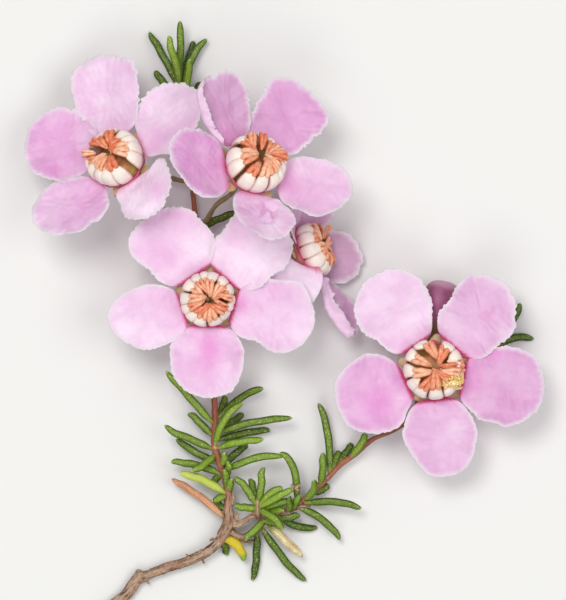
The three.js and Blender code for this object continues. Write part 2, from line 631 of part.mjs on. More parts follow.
function addPiece(name, geometry, finish) {
  const material = new THREE.MeshStandardMaterial({ ...FINISH[finish], metalness: 0 });
  const mesh = new THREE.Mesh(geometry, material);
  mesh.name = name;
  sprig.add(mesh);
}

function leafFinish(name) {
  if (name === 'leaf_yellow' || name === 'leaf_yellow_green') return 'yellow';
  return name.startsWith('leaf_dried') ? 'dried' : 'leaf';
}

for (const [key, { name, twig, steps, finish }] of Object.entries(WOOD)) {
  const grownOn = LEAVES[key].filter((leaf) => !leaf.name);
  const leaves = grownOn.map((leaf) => leafGeometry(twig.root(leaf.foot), leaf.bend, leaf.tip));
  addPiece(name, grownTogether([twig.geometry(steps), ...leaves]), finish);
}

for (const [key, { twig }] of Object.entries(WOOD)) {
  for (const leaf of LEAVES[key].filter((row) => row.name)) {
    const foot = twig.seat(leaf.foot, leaf.bend, LEAF_SEAT);
    addPiece(leaf.name, leafGeometry(foot, leaf.bend, leaf.tip), leafFinish(leaf.name));
  }
}

for (const flower of FLOWERS) {
  const azimuths = flower.petals.map((petal) => petal.azimuth);
  const sepals = azimuths.map((azimuth, i) => {
    const next = azimuths[(i + 1) % azimuths.length];
    const step = THREE.MathUtils.euclideanModulo(next - azimuth + 180, 360) - 180;
    return sepalGeometry(flower.frame, azimuth + 0.5 * step);
  });
  const stalk = stalkGeometry(flower.frame, flower.stalk, WOOD[flower.twig].twig);
  addPiece(`${flower.name}_cup`, grownTogether([cupGeometry(flower.frame), stalk, ...sepals]), 'cup');
  addPiece(`${flower.name}_stamens`, crownGeometry(flower.frame, flower.stamens, azimuths[0]), 'stamen');
  flower.petals.forEach((petal, i) => {
    const whole = { ...PLAIN_PETAL, ...petal };
    addPiece(`${flower.name}_petal_${i + 1}`, petalGeometry(flower.frame, whole), 'petal');
  });
}

addPiece('flower_bud', budGeometry(), 'bud');

export default sprig;
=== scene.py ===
"""A cut flowering sprig of babingtonia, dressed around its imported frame.

Sizes are in millimetres and turn to metres when a mesh is made. Places are read on the frame's own
layout grid: columns count to the right, rows towards the woody end, and heights are millimetres.
"""

import json
import logging
import math
from dataclasses import dataclass, field
from enum import Enum
from typing import Sequence

import bpy
import numpy as np
from mathutils import Matrix, Vector

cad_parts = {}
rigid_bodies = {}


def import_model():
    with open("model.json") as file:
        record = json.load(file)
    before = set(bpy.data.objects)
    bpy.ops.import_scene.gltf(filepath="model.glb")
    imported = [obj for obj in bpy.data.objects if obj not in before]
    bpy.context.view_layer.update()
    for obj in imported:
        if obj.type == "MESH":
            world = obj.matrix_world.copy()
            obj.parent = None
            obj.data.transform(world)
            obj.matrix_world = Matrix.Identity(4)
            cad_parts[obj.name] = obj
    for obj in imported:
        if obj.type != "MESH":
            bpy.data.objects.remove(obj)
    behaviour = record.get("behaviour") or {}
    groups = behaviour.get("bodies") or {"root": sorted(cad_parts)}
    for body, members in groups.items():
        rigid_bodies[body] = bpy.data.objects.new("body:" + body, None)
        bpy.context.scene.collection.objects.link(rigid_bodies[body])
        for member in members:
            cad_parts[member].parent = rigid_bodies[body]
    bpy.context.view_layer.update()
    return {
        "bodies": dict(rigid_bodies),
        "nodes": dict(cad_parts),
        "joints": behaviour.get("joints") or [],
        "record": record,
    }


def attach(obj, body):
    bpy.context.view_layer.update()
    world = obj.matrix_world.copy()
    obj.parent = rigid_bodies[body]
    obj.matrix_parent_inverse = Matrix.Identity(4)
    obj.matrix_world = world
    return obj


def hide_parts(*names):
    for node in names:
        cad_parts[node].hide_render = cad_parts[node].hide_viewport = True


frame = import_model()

log = logging.getLogger("babingtonia")

Array = np.ndarray
Place = tuple[float, float, float]
Spot = tuple[float, float]
Colour = tuple[float, ...]
Body = tuple[Array, list[Array]]
Material = bpy.types.Material
Thing = bpy.types.Object

MM = 0.001
GRID_STEPS_PER_MM = 13.8
GRID_ORIGIN = (284.4, 323.2)
UP = np.array([0.0, 0.0, 1.0])
EAST = np.array([1.0, 0.0, 0.0])
FULL_TURN = 2 * math.pi
ROOT = "root"
AXIS_STEPS = 40
STALK_SIDES = 16
STALK_STEPS = 16


# Places, curves and numbers


def at(column: float, row: float, height: float = 0.0) -> Array:
    """A place on the layout grid, in millimetres."""
    across, up = column - GRID_ORIGIN[0], GRID_ORIGIN[1] - row
    return np.array([across / GRID_STEPS_PER_MM, up / GRID_STEPS_PER_MM, height])


def unit(vectors: Array) -> Array:
    """Vectors brought to length one along their last axis."""
    return vectors / np.maximum(np.linalg.norm(vectors, axis=-1, keepdims=True), 1e-12)


def smoothstep(values: Array, low: float, high: float) -> Array:
    """0 below low, 1 above high and smooth in between."""
    t = np.clip((values - low) / (high - low), 0, 1)
    return t * t * (3 - 2 * t)


def bell(values: Array) -> Array:
    """1 at zero, and falling off like a bell on both sides."""
    return np.exp(-(values**2))


def srgb(red: float, green: float, blue: float) -> Colour:
    """A colour as it is seen on a screen, 0 to 255, as linear numbers for a shader."""
    shares = [channel / 255 for channel in (red, green, blue)]
    return (*(((c + 0.055) / 1.055) ** 2.4 if c > 0.04045 else c / 12.92 for c in shares), 1.0)


def through(points: Sequence[Array], per_span: int) -> Array:
    """A smooth centripetal curve through points.

    Args:
        points: The places that the curve passes through, in millimetres.
        per_span: How many steps each span between two places gets.

    Returns:
        The curve's own places, one row each.
    """
    inner = np.asarray(points, dtype=float)
    whole = np.vstack([2 * inner[0] - inner[1], inner, 2 * inner[-1] - inner[-2]])
    out = []
    for i in range(len(inner) - 1):
        p = whole[i : i + 4]
        knots = np.concatenate([[0], np.cumsum(np.linalg.norm(np.diff(p, axis=0), axis=1) ** 0.5)])
        last = i == len(inner) - 2
        t = np.linspace(knots[1], knots[2], per_span + 1)[: None if last else -1, None]
        for gap in (1, 2):
            spans = [(knots[j], knots[j + gap]) for j in range(4 - gap)]
            p = [((b - t) * p[j] + (t - a) * p[j + 1]) / (b - a) for j, (a, b) in enumerate(spans)]
        out.append(((knots[2] - t) * p[0] + (t - knots[1]) * p[1]) / (knots[2] - knots[1]))
    return np.vstack(out)


def drawn(points: Sequence[Place], per_span: int) -> Array:
    """A smooth curve through places of the layout grid."""
    return through([at(*point) for point in points], per_span)


def lengths(path: Array) -> Array:
    """How far along a path each of its places lies."""
    return np.concatenate([[0], np.cumsum(np.linalg.norm(np.diff(path, axis=0), axis=1))])


def evenly(path: Array, count: int) -> Array:
    """The same path in count places, spaced evenly along it."""
    reach = lengths(path)
    return np.stack([np.interp(np.linspace(0, reach[-1], count), reach, way) for way in path.T], axis=1)


def bezier(corners: Sequence[Array], s: Array) -> Array:
    """Places on a Bezier curve.

    Args:
        corners: The three or four places that steer the curve.
        s: Shares of the curve.

    Returns:
        A place for each share.
    """
    degree = len(corners) - 1
    share = [math.comb(degree, k) * s**k * (1 - s) ** (degree - k) for k in range(degree + 1)]
    return sum(w[..., None] * c for w, c in zip(share, corners))


def carried(path: Array, upright: Array) -> tuple[Array, Array]:
    """Directions along a path whose section is carried without a twist.

    Args:
        path: The places of the path.
        upright: The direction that the first section's thickness lies nearest to.

    Returns:
        Across and normal directions, one row for each place.
    """
    along = unit(np.gradient(path, axis=0))
    across = np.zeros_like(path)
    step = np.cross(upright, along[0])
    for k, tangent in enumerate(along):
        step = unit(step - tangent * (step @ tangent))
        across[k] = step
    return across, np.cross(along, across)


class Waver:
    """Smooth seeded unevenness: a sum of waves in one, two or three directions."""

    def __init__(self, seed: int, directions: int, low: float, high: float, waves: int = 14) -> None:
        """Draws the waves.

        Args:
            seed: Where the random draws start.
            directions: How many numbers a place has.
            low: The longest wave's turns per unit.
            high: The shortest wave's turns per unit.
            waves: How many waves are summed.
        """
        rng = np.random.default_rng(seed)
        pace = np.exp(rng.uniform(math.log(low), math.log(high), waves))
        heading = unit(rng.normal(size=(waves, directions)))
        self.turns = FULL_TURN * heading * pace[:, None]
        self.shift = rng.uniform(0, FULL_TURN, waves)
        self.share = (low / pace) ** 0.5
        self.share /= np.linalg.norm(self.share) * 0.7

    def __call__(self, places: Array) -> Array:
        """The unevenness at places, mostly between -1 and 1."""
        return np.sin(places @ self.turns.T + self.shift) @ self.share


# Meshes


@dataclass
class Surface:
    """Places, faces and the numbers that a finish reads, gathered into one mesh."""

    places: list[Array] = field(default_factory=list)
    faces: list[Array] = field(default_factory=list)
    values: dict[str, list[Array]] = field(default_factory=dict)
    count: int = 0

    def add(self, places: Array, faces: Sequence[Array], **values: Array | float) -> None:
        """Adds a closed body.

        Args:
            places: The body's places in millimetres, one row each.
            faces: Arrays of faces with three or four corners, counted from this body's first place.
            **values: One number for each place, or one for all, by name.
        """
        for block in faces:
            self.faces.append(np.asarray(block) + self.count)
        self.places.append(places)
        for name, value in values.items():
            held = self.values.setdefault(name, [])
            held.append(np.broadcast_to(np.asarray(value, dtype=float), len(places)))
        self.count += len(places)

    def piece(self, name: str, finish: Material | None = None) -> Thing:
        """Turns the gathered bodies into one object, in metres and with smooth faces.

        Args:
            name: The object's name.
            finish: Its material, if it has one.

        Returns:
            The object, linked to the scene.
        """
        mesh = bpy.data.meshes.new(name)
        places = np.vstack(self.places) * MM
        corners = np.concatenate([block.ravel() for block in self.faces])
        sizes = np.concatenate([np.full(len(block), block.shape[1]) for block in self.faces])
        mesh.vertices.add(len(places))
        mesh.vertices.foreach_set("co", places.ravel())
        mesh.loops.add(len(corners))
        mesh.loops.foreach_set("vertex_index", corners.astype(np.int32))
        mesh.polygons.add(len(sizes))
        mesh.polygons.foreach_set("loop_start", (np.cumsum(sizes) - sizes).astype(np.int32))
        mesh.update(calc_edges=True)
        mesh.validate()
        mesh.shade_smooth()
        for value_name, blocks in self.values.items():
            set_numbers(mesh, value_name, np.concatenate(blocks))
        if finish:
            mesh.materials.append(finish)
        return linked(name, mesh)


def linked(name: str, data: bpy.types.ID) -> Thing:
    """A new object in the scene."""
    thing = bpy.data.objects.new(name, data)
    bpy.context.scene.collection.objects.link(thing)
    return thing


def set_numbers(mesh: bpy.types.Mesh, name: str, numbers: Sequence[float]) -> None:
    """Lets each point of a mesh carry a number under a name."""
    layer = mesh.attributes.new(name, "FLOAT", "POINT")
    layer.data.foreach_set("value", np.array(numbers, dtype=np.float32))


def circle(sides: int) -> tuple[Array, Array]:
    """How far east and north the sides of a ring of radius one lie."""
    turn = np.linspace(0, FULL_TURN, sides, endpoint=False)
    return np.cos(turn), np.sin(turn)


def around(path: Array, across: Array, normal: Array, wide: Array, high: Array) -> Array:
    """Rings of places round a path.

    Args:
        path: The places that the rings go round.
        across: The direction of each ring's width.
        normal: The direction of each ring's thickness.
        wide: How far each side of each ring lies across.
        high: How far it lies along the normal.

    Returns:
        Places by ring, by side and by direction.
    """
    return path[:, None] + across[:, None] * wide[..., None] + normal[:, None] * high[..., None]


def by_ring(values: Array, sides: int) -> Array:
    """One number for each ring of a tube, for all its places and the middles of its caps."""
    return np.append(np.repeat(values, sides), values[[0, -1]])


def by_side(values: Array, rows: int) -> Array:
    """One number for each side of a tube, for all its places and the middles of its caps."""
    return np.append(np.tile(values, rows), [0, 0])


def ring_steps(columns: int, first: int = 0) -> Array:
    """Each place of a closed row and the place beside it, by their numbers."""
    here = np.arange(columns)
    return first + np.stack([here, (here + 1) % columns])


def wrap(rows: int, columns: int) -> Array:
    """Quads between rows of places that close round on themselves."""
    here, beside = (np.arange(rows - 1)[:, None] * columns + step for step in ring_steps(columns))
    return np.stack([here, beside, beside + columns, here + columns], axis=-1).reshape(-1, 4)


def fan(centre: int, first: int, columns: int, turn: int) -> Array:
    """Triangles between one place and a closed row of places. A turn of -1 makes them look back."""
    return np.stack([np.full(columns, centre), *ring_steps(columns, first)[::turn]], axis=-1)


def capped(rows: int, columns: int) -> list[Array]:
    """The faces of a tube that ends in two caps, whose middles come after its rings."""
    first = rows * columns
    return [wrap(rows, columns), fan(first, 0, columns, -1), fan(first + 1, first - columns, columns, 1)]


def tube(rings: Array) -> Body:
    """A closed body through rings of places, given by ring, by side and by direction."""
    places = np.vstack([rings.reshape(-1, 3), rings[0].mean(0), rings[-1].mean(0)])
    return places, capped(*rings.shape[:2])


def round_stalk(path: Array, radius: Array) -> Body:
    """A round stalk along a path, with a radius for each of its places."""
    east, north = circle(STALK_SIDES)
    return tube(around(path, *carried(path, EAST), radius[:, None] * east, radius[:, None] * north))


def lathe(profile: Array, sides: int) -> Body:
    """Turns a closed body round Z.

    Args:
        profile: Distances from Z and heights. The first and the last place lie on Z.
        sides: How many sides the body has.

    Returns:
        The body's places and faces.
    """
    reach, height = profile[1:-1, 0, None], profile[1:-1, 1, None]
    east, north = circle(sides)
    rings = np.stack([reach * east, reach * north, height + 0 * east], axis=-1)
    ends = np.array([[0, 0, profile[0, 1]], [0, 0, profile[-1, 1]]])
    return np.vstack([rings.reshape(-1, 3), ends]), capped(len(rings), sides)


# Shader maths


class Wire:
    """A number that flows through a node tree and takes part in Python expressions."""

    def __init__(self, board: "Board", socket: bpy.types.NodeSocket) -> None:
        """Wraps a node's output socket."""
        self.board = board
        self.socket = socket

    def __add__(self, other: "Wire | float") -> "Wire":
        """self + other."""
        return self.board.maths("ADD", self, other)

    def __radd__(self, other: float) -> "Wire":
        """other + self."""
        return self.board.maths("ADD", other, self)

    def __sub__(self, other: "Wire | float") -> "Wire":
        """self - other."""
        return self.board.maths("SUBTRACT", self, other)

    def __rsub__(self, other: float) -> "Wire":
        """other - self."""
        return self.board.maths("SUBTRACT", other, self)

    def __mul__(self, other: "Wire | float") -> "Wire":
        """self * other."""
        return self.board.maths("MULTIPLY", self, other)

    def __rmul__(self, other: float) -> "Wire":
        """other * self."""
        return self.board.maths("MULTIPLY", other, self)

    def __neg__(self) -> "Wire":
        """-self."""
        return 0.0 - self

    def bounded(self) -> "Wire":
        """self held between 0 and 1."""
        return self.board.maths("MULTIPLY", self, 1.0, use_clamp=True)

    def between(self, low: float, high: float) -> "Wire":
        """0 where self is below low, 1 above high and smooth in between."""
        settings = {"interpolation_type": "SMOOTHSTEP", "clamp": True}
        return self.board.wire("ShaderNodeMapRange", {0: self, 1: low, 2: high}, **settings)

    def below(self, low: float, high: float) -> "Wire":
        """1 where self is below low, 0 above high and smooth in between."""
        return 1.0 - self.between(low, high)

    def reached(self, part: float) -> "Wire":
        """1 where self, the number of a part, is at least this part's number."""
        return self.between(part - 0.6, part - 0.4)


Value = Wire | float | Colour


class Board:
    """A node tree, of a material or of Geometry Nodes, built from expressions."""

    def __init__(self, tree: bpy.types.NodeTree) -> None:
        """Starts from an empty tree."""
        self.tree = tree
        self.tree.nodes.clear()

    def node(self, kind: str, inputs: dict[int | str, Value], **settings: object) -> bpy.types.Node:
        """Adds a node.

        Args:
            kind: The node's type.
            inputs: Values or wires for its sockets, by name or place.
            **settings: Its properties, which are set first.

        Returns:
            The node.
        """
        made = self.tree.nodes.new(kind)
        for key, setting in settings.items():
            setattr(made, key, setting)
        for key, value in inputs.items():
            for each in value if isinstance(value, list) else [value]:
                if isinstance(each, Wire):
                    self.tree.links.new(each.socket, made.inputs[key])
                else:
                    made.inputs[key].default_value = each
        return made

    def out(self, made: bpy.types.Node, socket: int | str = 0) -> Wire:
        """One of a node's outputs as a wire."""
        return Wire(self, made.outputs[socket])

    def wire(
        self, kind: str, inputs: dict[int | str, Value], socket: int | str = 0, **settings: object
    ) -> Wire:
        """Adds a node that gives one wire. See node for what it takes."""
        return self.out(self.node(kind, inputs, **settings), socket)

    def maths(self, operation: str, first: Value, second: Value, use_clamp: bool = False) -> Wire:
        """A Math node on two values."""
        return self.wire("ShaderNodeMath", {0: first, 1: second}, operation=operation, use_clamp=use_clamp)

    def vector(self, x: Value, y: Value, z: Value) -> Wire:
        """Three numbers as one vector."""
        return self.wire("ShaderNodeCombineXYZ", {0: x, 1: y, 2: z})


class Skin(Board):
    """A material's node tree."""

    def __init__(self, name: str) -> None:
        """Starts an empty material."""
        self.material = bpy.data.materials.new(name)
        self.material.use_nodes = True
        super().__init__(self.material.node_tree)

    def value(self, name: str) -> Wire:
        """A number that the mesh carries under a name."""
        return self.wire("ShaderNodeAttribute", {}, "Fac", attribute_name=name)

    def place(self) -> Wire:
        """The place on the object, in millimetres."""
        here = self.wire("ShaderNodeTexCoord", {}, "Object")
        return self.wire("ShaderNodeVectorMath", {0: here, 3: 1 / MM}, operation="SCALE")

    def noise(self, where: Wire, scale: float, detail: float = 2.0, roughness: float = 0.5) -> Wire:
        """Noise between 0 and 1 at a place."""
        inputs = {"Vector": where, "Scale": scale, "Detail": detail, "Roughness": roughness}
        return self.wire("ShaderNodeTexNoise", inputs, "Fac")

    def mix(self, share: Value, first: Value, second: Value) -> Wire:
        """A colour between two colours."""
        return self.wire("ShaderNodeMix", {0: share, 6: first, 7: second}, 2, data_type="RGBA")

    def relief(self, height: Wire, strength: float, depth: float) -> Wire:
        """A normal that follows a height. depth is the height's reach in millimetres."""
        return self.wire("ShaderNodeBump", {"Height": height, "Strength": strength, "Distance": depth * MM})

    def finish(self, **inputs: Value) -> Material:
        """Ends the tree in a Principled shader.

        Args:
            **inputs: The shader's inputs, with the words of their names joined by underscores.

        Returns:
            The finished material.
        """
        named = {key.replace("_", " "): value for key, value in inputs.items()}
        shader = self.wire("ShaderNodeBsdfPrincipled", named, "BSDF")
        self.node("ShaderNodeOutputMaterial", {"Surface": shader})
        return self.material


class Growth(Board):
    """A Geometry Nodes tree that grows things on a mesh, with named inputs for its sizes."""

    def __init__(self, name: str, **inputs: str) -> None:
        """Starts the tree.

        Args:
            name: The tree's name.
            **inputs: The kind of each input, by name.
        """
        super().__init__(bpy.data.node_groups.new(name, "GeometryNodeTree"))
        sockets = self.tree.interface
        sockets.new_socket("Mesh", in_out="INPUT", socket_type="NodeSocketGeometry")
        self.keys = {
            label: sockets.new_socket(label, in_out="INPUT", socket_type=f"NodeSocket{kind}").identifier
            for label, kind in (inputs | {"Seed": "Int", "Finish": "Material"}).items()
        }
        sockets.new_socket("Mesh", in_out="OUTPUT", socket_type="NodeSocketGeometry")
        self.start = self.node("NodeGroupInput", {})

    def given(self, label: str) -> Wire:
        """One of the tree's inputs."""
        return self.out(self.start, label)

    def carried(self, name: str) -> Wire:
        """A number that the mesh's points carry under a name."""
        return self.wire("GeometryNodeInputNamedAttribute", {"Name": name}, data_type="FLOAT")

    def stored(self, mesh: Wire, name: str, value: Value) -> Wire:
        """A mesh whose points carry a number under a name."""
        inputs = {"Geometry": mesh, "Name": name, "Value": value}
        return self.wire("GeometryNodeStoreNamedAttribute", inputs, data_type="FLOAT", domain="POINT")

    def chance(self, low: Value, high: Value, shift: int) -> Wire:
        """A random number for each point, from the tree's own seed and a shift."""
        inputs = {2: low, 3: high, "Seed": self.given("Seed") + float(shift)}
        return self.wire("FunctionNodeRandomValue", inputs, 1, data_type="FLOAT")

    def ends(self, grown: Wire) -> "Growth":
        """Ends the tree in a plain mesh with its finish.

        Args:
            grown: The tree's geometry so far.

        Returns:
            The tree.
        """
        plain = self.wire("GeometryNodeRealizeInstances", {"Geometry": grown})
        inputs = {"Geometry": plain, "Material": self.given("Finish")}
        self.node("NodeGroupOutput", {"Mesh": self.wire("GeometryNodeSetMaterial", inputs)})
        return self

    def grow(self, thing: Thing, **values: object) -> Thing:
        """Grows the tree's things on an object, which is left with a plain mesh.

        Args:
            thing: The object whose mesh goes into the tree.
            **values: The tree's inputs, by name.

        Returns:
            The same object.
        """
        modifier = thing.modifiers.new("growth", "NODES")
        modifier.node_group = self.tree
        for label, value in values.items():
            modifier[self.keys[label]] = value
        graph = bpy.context.evaluated_depsgraph_get()
        grown = bpy.data.meshes.new_from_object(thing.evaluated_get(graph), depsgraph=graph)
        thing.modifiers.remove(modifier)
        spare, thing.data = thing.data, grown
        bpy.data.meshes.remove(spare)
        grown.name = thing.name
        return thing


# Finishes


@dataclass(frozen=True)
class PetalFinish:
    """A petal's skin: lilac-pink and silky, with a chalky margin and a crimson claw, and with painted shade
    that greys petals lying in shade.
    """

    deep: Colour = srgb(214, 152, 203)
    light: Colour = srgb(243, 221, 240)
    flush: Colour = srgb(226, 128, 202)
    shade: Colour = srgb(190, 156, 180)
    chalk: Colour = srgb(226, 216, 224)
    claw: Colour = srgb(192, 30, 92)
    back: Colour = srgb(238, 206, 232)

    def material(self) -> Material:
        """Builds the petal's material.

        Returns:
            The material.
        """
        b = Skin("petal_skin")
        reach, across, rim, drift = b.value("reach"), b.value("across"), b.value("rim"), b.value("drift")
        here = b.place()
        cloud = b.noise(b.vector(reach * 0.42, across * 1.5, drift), 1.0)
        streaks = b.noise(b.vector(across * 7.0, reach * 0.3, drift), 1.0)
        grain = b.noise(here, 5.0, 4.0, 0.65)
        patch = b.noise(b.vector(reach, across, drift), 0.9, 3.0, 0.6)
        fray = b.noise(here, 2.0, 3.0, 0.7) - 0.5
        tone = (cloud * 0.7 + patch * 0.6 + streaks * 0.1 + grain * 0.1 - 0.75 + b.value("pale")).bounded()
        # painted shade: a petal that lies in shade is greyed towards the shade colour
        colour = b.mix(b.value("dim"), b.mix(tone, self.deep, self.light), self.shade)
        colour = b.mix((b.value("flush") * (0.8 + streaks * 0.4)).bounded(), colour, self.flush)
        chalk = (rim + fray * 0.2).below(0.0, 0.42) * 0.78 + (rim + fray * 0.06).below(0.03, 0.1) * 0.2
        colour = b.mix(chalk * reach.between(0.2, 1.0), colour, self.chalk)
        claw = (reach + (streaks - 0.5) * 0.3).below(0.1, 0.5)
        halo = (reach + (streaks - 0.5) * 0.8).below(0.1, 1.3)
        blush = b.value("blush")
        colour = b.mix(halo * blush * 0.22, colour, self.flush)
        colour = b.mix((claw * blush).bounded() * 0.9, colour, self.claw)
        colour = b.mix(b.value("back") * 0.7, colour, self.back)
        return b.finish(
            Base_Color=colour,
            Roughness=0.46 + chalk * 0.2,
            Normal=b.relief(grain * 0.6 + streaks * 0.5, 0.22, 0.04),
            Subsurface_Weight=0.1,
            Subsurface_Radius=(0.9, 0.5, 0.8),
            Subsurface_Scale=0.3 * MM,
            Sheen_Weight=0.1,
            Sheen_Roughness=0.4,
            Specular_IOR_Level=0.35,
        )


class LeafKind(Enum):
    """The leaves of the sprig, each as its material slot, its shaded colour and its bright colour."""

    GREEN = ("leaf", srgb(46, 70, 2), srgb(114, 150, 16))
    LIME = ("leaf_yellow", srgb(132, 160, 30), srgb(204, 212, 96))
    YELLOW = ("leaf_yellow", srgb(198, 166, 8), srgb(232, 214, 40))
    BROWN = ("leaf_dried", srgb(158, 98, 66), srgb(230, 174, 134))
    TAN = ("leaf_dried", srgb(160, 124, 62), srgb(242, 228, 182))

    @property
    def slot(self) -> str:
        """The leaf's material slot."""
        return self.value[0]

    @property
    def dry(self) -> bool:
        """Whether the leaf has dried."""
        return self.slot == "leaf_dried"


@dataclass(frozen=True)
class LeafFinish:
    """A waxy leaf with a pale tip and foot and with pale oil glands, and with painted light: a lighter top,
    lighter high leaves, a painted highlight band, painted glints, and glands that are lit on top and shaded
    below.
    """

    kind: LeafKind
    painted_highlight: Colour = srgb(194, 208, 112)
    glint: Colour = srgb(224, 232, 178)
    tip: Colour = srgb(214, 208, 172)
    dried_tip: Colour = srgb(150, 110, 72)
    foot: Colour = srgb(176, 160, 96)
    green_tip: Colour = srgb(122, 158, 52)
    green_foot: Colour = srgb(112, 140, 58)
    gland: Colour = srgb(220, 228, 166)
    shaded_gland: Colour = srgb(100, 130, 36)

    def material(self) -> Material:
        """Builds the leaf's material.

        Returns:
            The material.
        """
        b = Skin(f"leaf_skin_{self.kind.name.lower()}")
        _, dark, bright = self.kind.value
        dry = self.kind.dry
        along, upper, fresh = b.value("along"), b.value("upper"), b.value("fresh")
        here = b.place()
        mottle = b.noise(here, 2.4, 4.0, 0.65)
        fine = b.noise(here, 14.0, 3.0, 0.6)
        # painted light: the side of a blade that faces up, and leaves that stand higher, are lighter, and low
        # leaves darker; the noise adds the leaf's own mottled tone
        lit = (mottle * 0.5 + upper * 0.5 + fine * 0.1 + fresh - 0.62).between(0.0, 1.0)
        colour = b.mix(lit, dark, bright)
        if not dry:
            # painted highlight: a pale band along the top of each green leaf, where the lamps would shine back
            painted_highlight = upper.between(0.6, 1.0) * (mottle * 0.9 + fine * 0.3).bounded() * fresh
            colour = b.mix((painted_highlight * 0.56).bounded(), colour, self.painted_highlight)
        colour = b.mix(along.between(0.94, 1.0) * 0.8, colour, self.dried_tip if dry else self.tip)
        colour = b.mix(along.below(0.0, 0.12) * 0.6, colour, self.foot)
        if self.kind is LeafKind.YELLOW:
            colour = b.mix((along + (mottle - 0.5) * 0.3).between(0.74, 0.9), colour, self.green_tip)
        if self.kind is LeafKind.TAN:
            colour = b.mix((along + (mottle - 0.5) * 0.2).below(0.1, 0.3), colour, self.green_foot)
        if dry:
            stain = (b.noise(here, 1.2, 3.0, 0.7) + along * 0.2).between(0.55, 0.75)
            colour = b.mix(stain * 0.4, colour, dark)
            ridge = b.noise(b.vector(along * 2.0, b.value("across") * 3.0, 0.0), 1.0, 3.0, 0.6)
            colour = b.mix(ridge.below(0.4, 0.52) * 0.7, colour, dark)
            gland = dark
        else:
            # painted glints: small bright specks on the top of the leaf, where light would catch on the glands
            glint = b.noise(here, 10.0, 1.0, 0.4).between(0.64, 0.7) * upper.between(0.6, 0.95)
            colour = b.mix(glint * 0.55, colour, self.glint)
            # painted light on the glands: lit where they face up, shaded where they face down
            gland = b.mix(upper.between(0.3, 0.9), self.shaded_gland, self.gland)
        return b.finish(
            Base_Color=b.mix(b.value("dot") * (0.75 if dry else 0.5), colour, gland),
            Roughness=0.7 if dry else 0.32,
            Normal=b.relief(fine * 0.5 + mottle * 0.6, 0.5, 0.06),
            Coat_Weight=0.0 if dry else 0.05,
            Coat_Roughness=0.15,
            Specular_IOR_Level=0.3 if dry else 0.2,
        )


@dataclass(frozen=True)
class BarkFinish:
    """Bark: red-brown where it is young, grey-brown with fissures and flakes where it is old, and lighter on
    its upper side as painted light.
    """

    name: str
    young: Colour = srgb(138, 70, 48)
    tawny: Colour = srgb(178, 112, 84)
    old: Colour = srgb(104, 70, 50)
    grey: Colour = srgb(190, 158, 132)
    rosy: Colour = srgb(150, 92, 72)
    fissure: Colour = srgb(66, 44, 34)
    fleck: Colour = srgb(218, 200, 182)
    shaded_scar: Colour = srgb(158, 118, 84)
    scar: Colour = srgb(222, 196, 164)
    flake: Colour = srgb(200, 176, 152)

    def material(self) -> Material:
        """Builds the bark's material.

        Returns:
            The material.
        """
        b = Skin(self.name)
        here, age = b.place(), b.value("age")
        around_it = b.vector(b.value("length") * 1.5, b.value("east") * 2.8, b.value("north") * 2.8)
        grain = b.noise(around_it, 1.0, 5.0, 0.7)
        patch = b.noise(here, 1.1, 4.0, 0.7)
        speck = b.noise(here, 6.0, 4.0, 0.75)
        # painted light: upper lightens the side of the bark that faces up and darkens its underside, on top of
        # the pale patches
        over = (patch * 0.8 + grain * 0.8 + speck * 0.5 - 1.1 + b.value("upper") * 0.28).between(-0.15, 0.3)
        colour = b.mix(age, b.mix(over, self.young, self.tawny), b.mix(over, self.old, self.grey))
        colour = b.mix(b.noise(here, 0.6).between(0.45, 0.65) * age * 0.5, colour, self.rosy)
        colour = b.mix(grain.below(0.36, 0.5) * 0.8 * (0.25 + age * 0.75), colour, self.fissure)
        fleck = (speck * 0.7 + patch * 0.5).between(0.66, 0.78) * (0.2 + age * 0.8)
        colour = b.mix(fleck * 0.7, colour, self.fleck)
        scar = (b.value("scar") + (speck - 0.5) * 0.4).between(0.25, 0.9)
        colour = b.mix(scar * 0.85, colour, b.mix(grain.between(0.35, 0.65), self.shaded_scar, self.scar))
        return b.finish(
            Base_Color=b.mix(b.value("dot") * speck.between(0.4, 0.65) * 0.5, colour, self.flake),
            Roughness=0.72,
            Normal=b.relief(grain * 1.2 + speck * 0.7, 0.8, 0.08),
            Specular_IOR_Level=0.35,
        )


class StamenPart(Enum):
    """The parts of a crown, each as the number that its mesh carries."""

    FILAMENT = 0.0
    ANTHER = 1.0
    GLAND = 2.0
    POLLEN = 3.0


